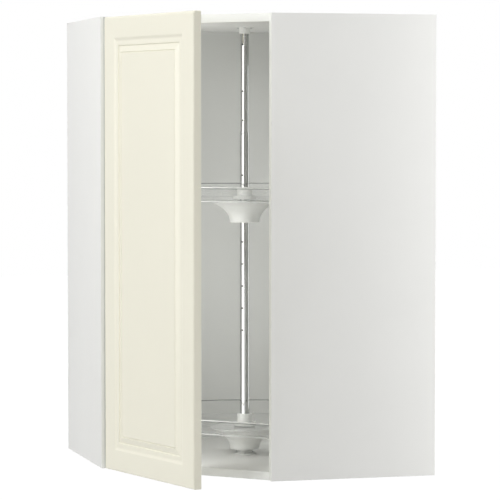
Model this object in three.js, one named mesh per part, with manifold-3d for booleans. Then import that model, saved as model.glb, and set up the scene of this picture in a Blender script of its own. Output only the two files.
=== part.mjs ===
// Corner wall cabinet with a carousel: two clear D-shaped trays that spin on a telescopic post,
// behind one diagonal framed door on two concealed hinges.
//
// Frame: millimetres, +Z up. The origin is on the carousel's axis, at the underside of the bottom
// panel. +Y points to the rear wall and +X to the side wall, so the diagonal front faces -X -Y.

import * as THREE from 'three';
import { mergeVertices } from 'three/addons/utils/BufferGeometryUtils.js';
import Module from 'manifold-3d';

const wasm = await Module();
wasm.setup();

// ---------- driving dimensions ----------

// carcass
const PLAN = 675;               // outer width and depth along the two walls
const HEIGHT = 1000;
const BOARD = 18;
const SIDE_DEPTH = 370;         // side panels, wall to front edge
const BACK_BOARD = 3;
const BACK_INSET = 17;          // wall to the rear face of the back boards
const GROOVE_DEPTH = 8;
const CORNER_POST_LEG = 40;

// door
const DOOR_SIDE_GAP = 17.17;    // door's edges to the side panels' front corners
const DOOR_END_GAP = 1.5;       // door's ends to the cabinet's
const DOOR_THICKNESS = 19;
const DOOR_SETBACK = 0.5;       // door's back face behind the corner-to-corner plane when closed
const DOOR_EDGE_RADIUS = 5;
const STILE_FLAT = 46;          // flat border of the door's face
const COVE_WIDTH = 16;          // hollow between the border and the bevel
const BEVEL_WIDTH = 14.5;
const RELIEF_DEPTH = 3.9;
const OPEN_AT_REST = 29.5;      // degrees, as the door stands at rest
const BUMPER_RADIUS = 4;
const BUMPER_HEIGHT = 1.6;
const BUMPER_EDGE = 9;

// hinges
const HINGE_TO_END = 100;       // cabinet's ends to the hinges
const PIVOT_FROM_EDGE = 18;
const PIVOT_DEPTH = 8.5;
const PIN_RADIUS = 1.5;
const PIN_HALF_LENGTH = 10.5;
const CUP_RADIUS = 17.4;
const CUP_DEPTH = 13;
const CUP_FROM_EDGE = 22.5;
const CUP_WALL = 1.1;
const CUP_CAVITY_HALF = 8.2;
const CUP_FLANGE = 1.2;
const CUP_SCREW_OFFSET = 25.5;
const EYE_RADIUS = 3.2;
const ARM_THICKNESS = 2.5;
const ARM_HALF_HEIGHT = 4.5;
const ARM_STAND_OFF = 28;       // side panel's face to the arm's top strip
const ARM_SCREW_SPACE = 5;      // arm's top strip to what turns past its screws
const ARM_EXIT_ANGLE = -7;      // degrees, strip's way out of the cup
const CHANNEL_HALF_HEIGHT = 6.5;
const CHANNEL_WALL = 1.5;
const CHANNEL_DEPTH = 17;
const CHANNEL_START = -6;       // front edge of the side panel to the channel's front end
const CHANNEL_LENGTH = 66;
const PLATE_THICKNESS = 3;
const PLATE_SETBACK = 37;       // front edge of the side panel to the plate's screws
const PLATE_SCREW_OFFSET = 16;

// carousel
const AXIS_SHIFT = 1.5;         // cabinet's middle to the axis, towards the walls
const TRAY_TURNING_GAP = 3.25;  // round edge to the closed door and the hinges
const TRAY_FLAT = 190;          // axis to the straight front edge
const TRAY_CORNER = 16;
const TRAY_RIM_HEIGHT = 34.3;
const TRAY_WALL = 2.6;
const TRAY_FLOOR = 3;
const TRAY_FILLET = 9;
const TRAY_BOTTOMS = { lower: 79, upper: 591.5 };
const POST_RADIUS = 11;
const POST_WALL = 1.2;
const POST_TOP = 746.6;
const INNER_POST_RADIUS = 9.4;
const INNER_POST_BOTTOM = 590;
const POST_HOLE = 4.2;
const POST_HOLE_PITCH = 50;
const POST_FIRST_HOLE = 298.7;
const POST_HOLE_COUNT = 8;
const INNER_POST_HOLES = [209.9, 144.4, 39.2];      // below the top panel
const HUB_HEIGHT = 49;          // cone under the tray
const HUB_FOOT_RADIUS = 33;
const HUB_TOP_RADIUS = 78;
const HUB_WALL = 2.5;
const HUB_SLEEVE_RADIUS = 24;
const HUB_SEAT = 11;            // hub's foot to the seat that carries it
const FLANGE_RADIUS = 26;
const FLANGE_HEIGHT = 8.5;
const COLLAR_RADIUS = 17;
const COLLAR_HEIGHT = 27;
const BEARING_RADIUS = 20;
const BEARING_THICKNESS = 1.8;
const SUPPORT_PIN_RADIUS = 1.9;
const SUPPORT_PIN_LENGTH = 38;
const FLOOR_FLANGE_RADIUS = 26;
const FLOOR_FLANGE_HEIGHT = 2.4;
const FLOOR_STUB_RADIUS = 16.5;
const FLOOR_SPIGOT_LENGTH = 26;
const TOP_FLANGE_RADIUS = 21.6;
const TOP_FLANGE_HEIGHT = 1.8;
const TOP_COLLAR_RADIUS = 12.4;
const TOP_COLLAR_HEIGHT = 15;

// hanging brackets, inside the top rear corners
const BRACKET_DROP = 20;        // ceiling to the bracket's body
const BRACKET_HEIGHT = 40;
const BRACKET_WIDTH = 14;
const BRACKET_DEPTH = 38;
const HOOK_REACH = 12;
const CAP_WALL = 1.5;

// fits
const CLEAR = 0.3;              // between pieces that seat in or turn past each other
const ROUND = 36;               // sides of a large round form
const POST_ROUND = 28;
const SMALL_ROUND = 16;
const SCREW_ROUND = 8;
const HOLE_ROUND = 8;

// ---------- sizes that follow ----------

const AXIS_TO_WALL = PLAN / 2 - AXIS_SHIFT;
const OUTER = AXIS_TO_WALL - PLAN;                  // outer faces of both side panels
const INNER = OUTER + BOARD;                        // their inner faces
const FRONT = AXIS_TO_WALL - SIDE_DEPTH;            // their front edges
const CEILING = HEIGHT - BOARD;
const BACK_REAR = AXIS_TO_WALL - BACK_INSET;
const BACK_FRONT = BACK_REAR - BACK_BOARD;
const FRONT_PLANE = -(OUTER + FRONT) / Math.SQRT2;  // axis to the corner-to-corner plane
const DOOR_WIDTH = (PLAN - SIDE_DEPTH) * Math.SQRT2 - 2 * DOOR_SIDE_GAP;
const DOOR_HEIGHT = HEIGHT - 2 * DOOR_END_GAP;
const HINGE_HEIGHTS = { lower: HINGE_TO_END, upper: HEIGHT - HINGE_TO_END };
const PIVOT_S = -DOOR_WIDTH / 2 + PIVOT_FROM_EDGE;  // along the diagonal
const PIVOT_D = -FRONT_PLANE + DOOR_SETBACK - PIVOT_DEPTH;
const POST_BOTTOM = BOARD + FLOOR_FLANGE_HEIGHT + CLEAR;
const DIAGONAL = -Math.PI / 4;
const TRAY_RADIUS = Math.min(
  FRONT_PLANE - DOOR_SETBACK,
  -INNER - ARM_STAND_OFF - ARM_SCREW_SPACE,
) - TRAY_TURNING_GAP;

// ---------- shapes ----------

function solidOf(geometry) {
  const bare = geometry.clone();
  bare.deleteAttribute('normal');
  bare.deleteAttribute('uv');
  const merged = mergeVertices(bare, 1e-4);
  const corners = merged.index.array;
  const kept = [];
  for (let i = 0; i < corners.length; i += 3) {
    const [a, b, c] = [corners[i], corners[i + 1], corners[i + 2]];
    if (a !== b && b !== c && c !== a) kept.push(a, b, c);
  }
  const mesh = new wasm.Mesh({
    numProp: 3,
    vertProperties: new Float32Array(merged.attributes.position.array),
    triVerts: new Uint32Array(kept),
  });
  return new wasm.Manifold(mesh);
}

function geometryOf(solid) {
  const mesh = solid.getMesh();
  const geometry = new THREE.BufferGeometry();
  geometry.setAttribute('position', new THREE.BufferAttribute(new Float32Array(mesh.vertProperties), 3));
  geometry.setIndex(new THREE.BufferAttribute(new Uint32Array(mesh.triVerts), 1));
  return geometry;
}

function join(...geometries) {
  let solid = solidOf(geometries[0]);
  for (const next of geometries.slice(1)) solid = solid.add(solidOf(next));
  return geometryOf(solid);
}

function cut(geometry, ...tools) {
  let solid = solidOf(geometry);
  for (const tool of tools) solid = solid.subtract(solidOf(tool));
  return geometryOf(solid);
}

function common(first, second) {
  return geometryOf(solidOf(first).intersect(solidOf(second)));
}

function block(x0, x1, y0, y1, z0, z1) {
  const geometry = new THREE.BoxGeometry(x1 - x0, y1 - y0, z1 - z0);
  return geometry.translate((x0 + x1) / 2, (y0 + y1) / 2, (z0 + z1) / 2);
}

function prism(points, z0, z1) {
  const shape = new THREE.Shape(points.map(([x, y]) => new THREE.Vector2(x, y)));
  const geometry = new THREE.ExtrudeGeometry(shape, { depth: z1 - z0, bevelEnabled: false });
  return geometry.translate(0, 0, z0);
}

// A closed [radius, height] profile, anticlockwise, turned round +Z.
function turned(profile, sides = ROUND) {
  const points = profile.map(([r, z]) => new THREE.Vector2(r, z));
  if (profile[0][0] > 0) points.push(points[0].clone());
  return new THREE.LatheGeometry(points, sides).rotateX(Math.PI / 2);
}

// A turned disc or rod from z0 to z1.
function rod(radius, z0, z1, sides = SMALL_ROUND) {
  return turned([[0, z0], [radius, z0], [radius, z1], [0, z1]], sides);
}

function tube(outer, inner, z0, z1, sides = ROUND) {
  return turned([[inner, z0], [outer, z0], [outer, z1], [inner, z1]], sides);
}

// A rod whose length lies along local X or Y.
function crossRod(radius, from, to, axis, sides = SMALL_ROUND) {
  const geometry = rod(radius, from, to, sides);
  return axis === 'x' ? geometry.rotateY(Math.PI / 2) : geometry.rotateX(-Math.PI / 2);
}

// Skin over convex rings that all have the same number of points, closed at both ends.
function loft(rings) {
  const count = rings[0].length;
  const positions = rings.flat().flatMap((p) => [p.x, p.y, p.z]);
  const index = [];
  for (let k = 0; k < rings.length - 1; k += 1) {
    const low = k * count;
    const high = low + count;
    for (let i = 0; i < count; i += 1) {
      const j = (i + 1) % count;
      index.push(low + i, low + j, high + j, low + i, high + j, high + i);
    }
  }
  const last = (rings.length - 1) * count;
  for (let i = 1; i < count - 1; i += 1) {
    index.push(0, i + 1, i);
    index.push(last, last + i, last + i + 1);
  }
  const geometry = new THREE.BufferGeometry();
  geometry.setAttribute('position', new THREE.Float32BufferAttribute(positions, 3));
  geometry.setIndex(index);
  return geometry;
}

// Pan-head screw, head up, its seat at z = 0.
function screw(headRadius, headHeight, shankRadius, length) {
  return turned([
    [0, -length], [shankRadius, shankRadius - length], [shankRadius, CLEAR], [headRadius, CLEAR],
    [headRadius, headHeight * 0.6], [headRadius * 0.6, headHeight], [0, headHeight],
  ], SCREW_ROUND);
}

function screwHole(shankRadius, depth, above) {
  return rod(shankRadius + CLEAR, -depth - CLEAR, above, SCREW_ROUND);
}

function at(x, y, z, turn = new THREE.Euler()) {
  const place = new THREE.Matrix4().makeRotationFromEuler(turn);
  return place.setPosition(x, y, z);
}

// ---------- materials ----------

function finish(color, roughness, metalness = 0, opacity = 1) {
  return { color, roughness, metalness, opacity };
}

const WHITE_BOARD = finish(0xecede6, 0.5);
const BACK_WHITE = finish(0xe4e5de, 0.6);
const DOOR_FOIL = finish(0xece9d8, 0.42);
const WHITE_PLASTIC = finish(0xe8e9e3, 0.4);
const CLEAR_PLASTIC = finish(0xe4eae6, 0.08, 0, 0.35);
const CHROME = finish(0xcfd0cf, 0.12, 1);
const NICKEL = finish(0xb9b7b1, 0.28, 1);
const STEEL = finish(0xa9aaab, 0.35, 1);
const CLEAR_RUBBER = finish(0xdad9d2, 0.35);

function piece(name, geometry, look) {
  const material = new THREE.MeshStandardMaterial({
    color: look.color,
    roughness: look.roughness,
    metalness: look.metalness,
    opacity: look.opacity,
    transparent: look.opacity < 1,
  });
  const mesh = new THREE.Mesh(geometry, material);
  mesh.name = name;
  return mesh;
}

// One piece of its own at each of several places, named by number.
function addCopies(parent, name, geometry, places, look) {
  places.forEach((place, i) => {
    const copy = piece(`${name}_${i + 1}`, geometry.clone(), look);
    copy.applyMatrix4(place);
    parent.add(copy);
  });
}

// ---------- carcass ----------

const cabinet = new THREE.Group();

// A side panel stands at the origin of its own frame: +X away from its inner face into the
// cabinet, +Y from its front edge to the wall. The left frame turns into the right one by
// swapping x and y, so both panels come from one set of sizes.
const mirrorAcrossDiagonal = new THREE.Matrix4().set(
  0, 1, 0, 0,
  1, 0, 0, 0,
  0, 0, 1, 0,
  0, 0, 0, 1,
);

function toSide(geometry, side) {
  const placed = geometry.clone().translate(INNER, FRONT, 0);
  if (side === 'left') return placed;
  return geometryOf(solidOf(placed).transform(mirrorAcrossDiagonal.elements));
}

const grooveFront = BACK_FRONT - FRONT - CLEAR;
const grooveRear = BACK_REAR - FRONT + CLEAR;
const grooveEnd = BOARD - GROOVE_DEPTH;

function plateScrewPlaces() {
  const places = [];
  for (const height of Object.values(HINGE_HEIGHTS)) {
    for (const offset of [-PLATE_SCREW_OFFSET, PLATE_SCREW_OFFSET]) {
      const turn = new THREE.Euler(0, Math.PI / 2, 0);
      places.push(at(PLATE_THICKNESS, PLATE_SETBACK, height + offset, turn));
    }
  }
  return places;
}

const PLATE_SCREW = { head: 4, headHeight: 2.2, shank: 2, length: 14 };

function sidePanel(side) {
  let panel = cut(
    block(-BOARD, 0, 0, SIDE_DEPTH, 0, HEIGHT),
    block(-GROOVE_DEPTH, 1, grooveFront, grooveRear, grooveEnd, HEIGHT - grooveEnd),
  );
  if (side === 'left') {
    const hole = screwHole(PLATE_SCREW.shank, PLATE_SCREW.length, 1);
    const tools = plateScrewPlaces().map((place) => hole.clone().applyMatrix4(place));
    panel = cut(panel, ...tools);
  }
  return toSide(panel, side);
}

cabinet.add(piece('side_panel_left', sidePanel('left'), WHITE_BOARD));
cabinet.add(piece('side_panel_right', sidePanel('right'), WHITE_BOARD));

const FITTING_SCREW = { head: 3, headHeight: 1.5, shank: 1.6, length: 12 };
const FITTING_SCREW_COUNT = 3;

function ringPlaces(radius, z, flip = false) {
  const places = [];
  for (let i = 0; i < FITTING_SCREW_COUNT; i += 1) {
    const angle = DIAGONAL + (2 * Math.PI * (i + 0.5)) / FITTING_SCREW_COUNT;
    const turn = new THREE.Euler(flip ? Math.PI : 0, 0, 0);
    places.push(at(radius * Math.cos(angle), radius * Math.sin(angle), z, turn));
  }
  return places;
}

const FLOOR_SCREW_RADIUS = (FLOOR_FLANGE_RADIUS + FLOOR_STUB_RADIUS) / 2;
const floorScrews = ringPlaces(FLOOR_SCREW_RADIUS, BOARD + FLOOR_FLANGE_HEIGHT);
const TOP_SCREW_RADIUS = (TOP_FLANGE_RADIUS + TOP_COLLAR_RADIUS) / 2;
const topScrews = ringPlaces(TOP_SCREW_RADIUS, CEILING - TOP_FLANGE_HEIGHT, true);

// Bottom and top panels: grooves and fitting screw holes are on the faces that look inwards.
function pentagon(z0, z1) {
  const outline = [
    [INNER, FRONT], [FRONT, INNER], [AXIS_TO_WALL, INNER],
    [AXIS_TO_WALL, AXIS_TO_WALL], [INNER, AXIS_TO_WALL],
  ];
  return prism(outline, z0, z1);
}

function grooves(z0, z1) {
  const [front, rear] = [BACK_FRONT - CLEAR, BACK_REAR + CLEAR];
  return [block(INNER - 1, rear, front, rear, z0, z1), block(front, rear, INNER - 1, rear, z0, z1)];
}

function levelPanel(z0, facing) {
  const top = z0 + BOARD;
  const inside = facing > 0 ? [top - GROOVE_DEPTH, top + 1] : [z0 - 1, z0 + GROOVE_DEPTH];
  const hole = screwHole(FITTING_SCREW.shank, FITTING_SCREW.length, 5);
  const places = facing > 0 ? floorScrews : topScrews;
  const holes = places.map((place) => hole.clone().applyMatrix4(place));
  return cut(pentagon(z0, top), ...grooves(...inside), ...holes);
}

cabinet.add(piece('bottom_panel', levelPanel(0, 1), WHITE_BOARD));
cabinet.add(piece('top_panel', levelPanel(CEILING, -1), WHITE_BOARD));

// Back boards stand in the grooves; the hanging brackets' hooks pass through their outer edges.
const boardEdge = GROOVE_DEPTH - 1;
const backBase = BOARD - boardEdge;
const backTop = CEILING + boardEdge;
const hookTop = CEILING - BRACKET_DROP;
const hookSlotBottom = hookTop - BRACKET_HEIGHT - 4;
const hookSlotTop = hookTop + 4;
const hookSlotWidth = BRACKET_WIDTH + 8;

function backBoard(reach) {
  const board = block(-boardEdge, reach, BACK_FRONT - FRONT, BACK_REAR - FRONT, backBase, backTop);
  const slot = block(
    -boardEdge - 1, hookSlotWidth, BACK_FRONT - FRONT - 1, BACK_REAR - FRONT + 1,
    hookSlotBottom, hookSlotTop,
  );
  return cut(board, slot);
}

const rearBoard = toSide(backBoard(BACK_REAR - INNER), 'left');
const sideBoard = toSide(backBoard(BACK_FRONT - CLEAR - INNER), 'right');
cabinet.add(piece('back_board_rear', rearBoard, BACK_WHITE));
cabinet.add(piece('back_board_side', sideBoard, BACK_WHITE));

const postLow = AXIS_TO_WALL - CORNER_POST_LEG;
const cornerPost = prism([
  [postLow, BACK_REAR], [BACK_REAR, BACK_REAR], [BACK_REAR, postLow],
  [AXIS_TO_WALL, postLow], [AXIS_TO_WALL, AXIS_TO_WALL], [postLow, AXIS_TO_WALL],
], BOARD, CEILING);
cabinet.add(piece('back_corner_post', cornerPost, BACK_WHITE));

// ---------- hanging brackets ----------

const bracketRear = BACK_FRONT - FRONT - 2;
const bracketFront = bracketRear - BRACKET_DEPTH;
const bracketPlate = 2;

function bracket() {
  const base = block(
    0, bracketPlate, bracketFront - 8, bracketRear, hookTop - BRACKET_HEIGHT - 8, hookTop + 8,
  );
  const body = block(
    bracketPlate - 1, BRACKET_WIDTH, bracketFront, bracketRear, hookTop - BRACKET_HEIGHT, hookTop,
  );
  const pocket = block(
    bracketPlate + 2, BRACKET_WIDTH + 1, bracketFront + 3, bracketRear - 3,
    hookTop - BRACKET_HEIGHT + 3, hookTop - 3,
  );
  const reachEnd = BACK_REAR - FRONT + HOOK_REACH;
  const arm = block(bracketPlate + 1, BRACKET_WIDTH, bracketRear - 1, reachEnd, hookTop - 14, hookTop - 4);
  const tip = block(bracketPlate + 1, BRACKET_WIDTH, reachEnd - 4, reachEnd, hookTop - 26, hookTop - 13);
  const adjuster = crossRod(4, bracketPlate + 1, BRACKET_WIDTH - 3, 'x');
  adjuster.translate(0, (bracketFront + bracketRear) / 2, hookTop - BRACKET_HEIGHT / 2);
  return join(cut(join(base, body), pocket), arm, tip, adjuster);
}

function bracketCap() {
  const front = bracketFront - 8 - CLEAR - CAP_WALL;
  const rear = BACK_FRONT - FRONT - CLEAR;
  const low = hookTop - BRACKET_HEIGHT - 8 - CLEAR - CAP_WALL;
  const high = hookTop + 8 + CLEAR + CAP_WALL;
  const width = BRACKET_WIDTH + CLEAR + CAP_WALL;
  const shell = block(CLEAR, width, front, rear, low, high);
  const hollow = block(
    CLEAR - 1, width - CAP_WALL, front + CAP_WALL, rear + 1, low + CAP_WALL, high - CAP_WALL,
  );
  const access = crossRod(5, width - CAP_WALL - 1, width + 1, 'x');
  access.translate(0, (bracketFront + bracketRear) / 2, hookTop - BRACKET_HEIGHT / 2);
  return cut(shell, hollow, access);
}

for (const side of ['left', 'right']) {
  cabinet.add(piece(`hanging_bracket_${side}`, toSide(bracket(), side), STEEL));
  cabinet.add(piece(`bracket_cap_${side}`, toSide(bracketCap(), side), WHITE_PLASTIC));
}

// ---------- hinges, cabinet side ----------

// In the left panel's frame. The pivot stands in front of the panel's edge.
const cornerS = (INNER - FRONT) / Math.SQRT2;
const cornerD = (INNER + FRONT) / Math.SQRT2;
const pivotP = ((PIVOT_S - cornerS) + (PIVOT_D - cornerD)) / Math.SQRT2;
const pivotQ = ((PIVOT_D - cornerD) - (PIVOT_S - cornerS)) / Math.SQRT2;

// The strip of the arm: out of the cup, round the door's edge, and back along the panel.
function armStrip() {
  const exit = THREE.MathUtils.degToRad(ARM_EXIT_ANGLE);
  const bendRadius = 6;
  const straight = (ARM_STAND_OFF - pivotP - bendRadius) / Math.cos(exit);
  const turnStart = new THREE.Vector2(
    pivotP + straight * Math.cos(exit), pivotQ + straight * Math.sin(exit),
  );
  const bendCentre = new THREE.Vector2(
    turnStart.x - bendRadius * Math.sin(exit), turnStart.y + bendRadius * Math.cos(exit),
  );
  const half = ARM_THICKNESS / 2;
  const side = (sign) => {
    const points = [];
    const offset = bendRadius + sign * half;
    points.push([pivotP + sign * half * Math.sin(exit), pivotQ - sign * half * Math.cos(exit)]);
    const steps = 6;
    for (let i = 0; i <= steps; i += 1) {
      const angle = exit - Math.PI / 2 + ((Math.PI / 2 - exit) * i) / steps;
      points.push([
        bendCentre.x + offset * Math.cos(angle), bendCentre.y + offset * Math.sin(angle),
      ]);
    }
    points.push([bendCentre.x + offset, CHANNEL_START + 4]);
    return points;
  };
  const outline = [...side(1), ...side(-1).reverse()];
  return { geometry: prism(outline, -ARM_HALF_HEIGHT, ARM_HALF_HEIGHT), top: bendCentre.x + bendRadius };
}

const ARM_SCREW = { head: 4, headHeight: 2, shank: 2, length: 10 };
const armScrewQ = PLATE_SETBACK + 9;
const strip = armStrip();
const channelTop = strip.top + ARM_THICKNESS / 2;
const channelEnd = CHANNEL_START + CHANNEL_LENGTH;
const ridgeTop = channelTop - CHANNEL_WALL - CLEAR;
const ridgeHalf = CHANNEL_HALF_HEIGHT - CHANNEL_WALL - CLEAR;

function hingeArm() {
  const eye = rod(EYE_RADIUS, -ARM_HALF_HEIGHT, ARM_HALF_HEIGHT).translate(pivotP, pivotQ, 0);
  const bore = rod(PIN_RADIUS + CLEAR, -ARM_HALF_HEIGHT - 1, ARM_HALF_HEIGHT + 1);
  bore.translate(pivotP, pivotQ, 0);
  const channel = cut(
    block(
      channelTop - CHANNEL_DEPTH, channelTop, CHANNEL_START, channelEnd,
      -CHANNEL_HALF_HEIGHT, CHANNEL_HALF_HEIGHT,
    ),
    block(
      channelTop - CHANNEL_DEPTH - 1, channelTop - CHANNEL_WALL, CHANNEL_START + 2, channelEnd + 1,
      -CHANNEL_HALF_HEIGHT + CHANNEL_WALL, CHANNEL_HALF_HEIGHT - CHANNEL_WALL,
    ),
  );
  const slot = crossRod(ARM_SCREW.shank + CLEAR, 0, channelTop + 2, 'x', 16);
  slot.translate(0, armScrewQ, 0);
  return cut(join(strip.geometry, eye, channel), bore, slot);
}

function mountingPlate() {
  const wings = prism([
    [PLATE_SETBACK - 7, -24], [PLATE_SETBACK + 7, -24], [PLATE_SETBACK + 9, -14],
    [PLATE_SETBACK + 18, -8], [PLATE_SETBACK + 18, 8], [PLATE_SETBACK + 9, 14],
    [PLATE_SETBACK + 7, 24], [PLATE_SETBACK - 7, 24], [PLATE_SETBACK - 9, 14],
    [PLATE_SETBACK - 18, 8], [PLATE_SETBACK - 18, -8], [PLATE_SETBACK - 9, -14],
  ], 0, PLATE_THICKNESS);
  // the outline's axes are the panel's depth and height, and its thickness lies along +X
  wings.applyMatrix4(new THREE.Matrix4().set(0, 0, 1, 0, 1, 0, 0, 0, 0, 1, 0, 0, 0, 0, 0, 1));
  const ridge = block(
    0, ridgeTop, PLATE_SETBACK - 16, PLATE_SETBACK + 16, -ridgeHalf, ridgeHalf,
  );
  const hole = screwHole(PLATE_SCREW.shank, 5, 1).rotateY(Math.PI / 2);
  const holes = [-PLATE_SCREW_OFFSET, PLATE_SCREW_OFFSET].map((offset) => (
    hole.clone().translate(PLATE_THICKNESS, PLATE_SETBACK, offset)
  ));
  const tapped = crossRod(ARM_SCREW.shank + CLEAR, ridgeTop - ARM_SCREW.length, ridgeTop + 1, 'x', 16);
  tapped.translate(0, armScrewQ, 0);
  return cut(join(wings, ridge), ...holes, tapped);
}

const plateScrew = screw(PLATE_SCREW.head, PLATE_SCREW.headHeight, PLATE_SCREW.shank, PLATE_SCREW.length);
const armScrew = screw(ARM_SCREW.head, ARM_SCREW.headHeight, ARM_SCREW.shank, ARM_SCREW.length);
const armScrewPlaces = Object.values(HINGE_HEIGHTS).map((height) => (
  at(channelTop, armScrewQ, height, new THREE.Euler(0, Math.PI / 2, 0))
));

const leftPanelFrame = new THREE.Group();
leftPanelFrame.position.set(INNER, FRONT, 0);
for (const [level, height] of Object.entries(HINGE_HEIGHTS)) {
  const arm = piece(`hinge_arm_${level}`, hingeArm(), NICKEL);
  const plate = piece(`hinge_plate_${level}`, mountingPlate(), NICKEL);
  arm.position.z = height;
  plate.position.z = height;
  leftPanelFrame.add(arm, plate);
}
addCopies(leftPanelFrame, 'hinge_plate_screw', plateScrew, plateScrewPlaces(), NICKEL);
addCopies(leftPanelFrame, 'hinge_arm_screw', armScrew, armScrewPlaces, NICKEL);
cabinet.add(leftPanelFrame);

// ---------- door ----------

// In the door's frame the pivot is the origin, +X runs to the free edge and +Y into the cabinet.
const doorLeft = -PIVOT_FROM_EDGE;
const doorRight = doorLeft + DOOR_WIDTH;
const doorBack = PIVOT_DEPTH;
const doorFace = doorBack - DOOR_THICKNESS;

function doorRing(inset, y) {
  const [x0, x1] = [doorLeft + inset, doorRight - inset];
  const [z0, z1] = [DOOR_END_GAP + inset, DOOR_END_GAP + DOOR_HEIGHT - inset];
  return [[x0, z0], [x1, z0], [x1, z1], [x0, z1]].map(([x, z]) => new THREE.Vector3(x, y, z));
}

// One pressed board: rounded rim, flat border, a soft cove, then a bevel up to the centre field.
function doorPanel() {
  const rings = [doorRing(0, doorBack)];
  const arc = 5;
  for (let i = 0; i <= arc; i += 1) {
    const angle = (Math.PI / 2) * (i / arc);
    const inset = DOOR_EDGE_RADIUS * (1 - Math.cos(angle));
    const rise = DOOR_EDGE_RADIUS * Math.sin(angle);
    rings.push(doorRing(inset, doorFace + DOOR_EDGE_RADIUS - rise));
  }
  const cove = 6;
  for (let i = 0; i <= cove; i += 1) {
    const t = i / cove;
    const sink = RELIEF_DEPTH * (1 - Math.cos(Math.PI * t)) / 2;
    rings.push(doorRing(STILE_FLAT + COVE_WIDTH * t, doorFace + sink));
  }
  rings.push(doorRing(STILE_FLAT + COVE_WIDTH + BEVEL_WIDTH, doorFace));
  const board = loft(rings);
  const bores = [];
  const cupBore = rod(CUP_RADIUS + CLEAR, 0, CUP_DEPTH + CLEAR + 1, POST_ROUND).rotateX(Math.PI / 2);
  const screwBore = screwHole(CUP_SCREW.shank, CUP_SCREW.length, 5).rotateX(-Math.PI / 2);
  for (const height of Object.values(HINGE_HEIGHTS)) {
    bores.push(cupBore.clone().translate(doorLeft + CUP_FROM_EDGE, doorBack + 1, height));
    for (const side of [-1, 1]) {
      const z = height + side * CUP_SCREW_OFFSET;
      bores.push(screwBore.clone().translate(cupScrewX, doorBack + CUP_FLANGE, z));
    }
  }
  return cut(board, ...bores);
}

const CUP_SCREW = { head: 3.4, headHeight: 1.8, shank: 1.8, length: 11 };
const cupScrewX = doorLeft + CUP_FROM_EDGE + 6;

// Nickel cup in its bore, with a flange on the door's back and walls that hold the pin's ends.
function hingeCup() {
  const x = doorLeft + CUP_FROM_EDGE;
  const cup = rod(CUP_RADIUS, -CUP_DEPTH, CLEAR, POST_ROUND);
  const wing = prism([
    [-6, -CUP_SCREW_OFFSET - 6], [14, -CUP_SCREW_OFFSET - 6], [19.5, -12], [19.5, 12],
    [14, CUP_SCREW_OFFSET + 6], [-6, CUP_SCREW_OFFSET + 6], [-15, 12], [-15, -12],
  ], CLEAR, CUP_FLANGE);
  const cavity = common(
    rod(CUP_RADIUS - CUP_WALL, -CUP_DEPTH + 1, CUP_FLANGE + 1, POST_ROUND),
    block(-CUP_RADIUS, CUP_RADIUS, -CUP_CAVITY_HALF, CUP_CAVITY_HALF, -CUP_DEPTH, CUP_FLANGE + 2),
  );
  const hole = screwHole(CUP_SCREW.shank, 5, 5);
  const holes = [-1, 1].map((side) => (
    hole.clone().translate(cupScrewX - x, side * CUP_SCREW_OFFSET, CUP_FLANGE)
  ));
  // the cup is drawn with its mouth up; its height then lies along the door's +Y
  const stand = new THREE.Matrix4().set(1, 0, 0, x, 0, 0, 1, doorBack, 0, -1, 0, 0, 0, 0, 0, 1);
  const body = cut(join(cup, wing), cavity, ...holes).applyMatrix4(stand);
  const pinBore = rod(PIN_RADIUS + CLEAR, -PIN_HALF_LENGTH - CLEAR, PIN_HALF_LENGTH + CLEAR);
  return cut(body, pinBore);
}

const door = new THREE.Group();
door.position.set(PIVOT_S, PIVOT_D, 0);
door.rotation.z = THREE.MathUtils.degToRad(-OPEN_AT_REST);
door.add(piece('door_panel', doorPanel(), DOOR_FOIL));

const hingePin = rod(PIN_RADIUS, -PIN_HALF_LENGTH, PIN_HALF_LENGTH);
for (const [level, height] of Object.entries(HINGE_HEIGHTS)) {
  const cup = piece(`hinge_cup_${level}`, hingeCup(), NICKEL);
  const pin = piece(`hinge_pin_${level}`, hingePin.clone(), STEEL);
  cup.position.z = height;
  pin.position.z = height;
  door.add(cup, pin);
}

const cupScrew = screw(CUP_SCREW.head, CUP_SCREW.headHeight, CUP_SCREW.shank, CUP_SCREW.length);
const cupScrewPlaces = Object.values(HINGE_HEIGHTS).flatMap((height) => (
  [-1, 1].map((side) => at(
    cupScrewX, doorBack + CUP_FLANGE, height + side * CUP_SCREW_OFFSET,
    new THREE.Euler(-Math.PI / 2, 0, 0),
  ))
));
addCopies(door, 'hinge_cup_screw', cupScrew, cupScrewPlaces, NICKEL);

const bumper = turned([
  [0, CLEAR], [BUMPER_RADIUS, CLEAR], [BUMPER_RADIUS, BUMPER_HEIGHT * 0.5],
  [BUMPER_RADIUS * 0.6, BUMPER_HEIGHT], [0, BUMPER_HEIGHT],
], SMALL_ROUND);
const bumperPlaces = [DOOR_END_GAP + BUMPER_EDGE, DOOR_END_GAP + DOOR_HEIGHT - BUMPER_EDGE].map((z) => (
  at(doorRight - 5 * BUMPER_EDGE, doorBack, z, new THREE.Euler(-Math.PI / 2, 0, 0))
));
addCopies(door, 'door_bumper', bumper, bumperPlaces, CLEAR_RUBBER);

// ---------- carousel post ----------

const carousel = new THREE.Group();
carousel.rotation.z = DIAGONAL;

function postHoles(heights) {
  return heights.map((z) => (
    crossRod(POST_HOLE / 2, -2 * POST_RADIUS, 2 * POST_RADIUS, 'y', HOLE_ROUND).translate(0, 0, z)
  ));
}

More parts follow.
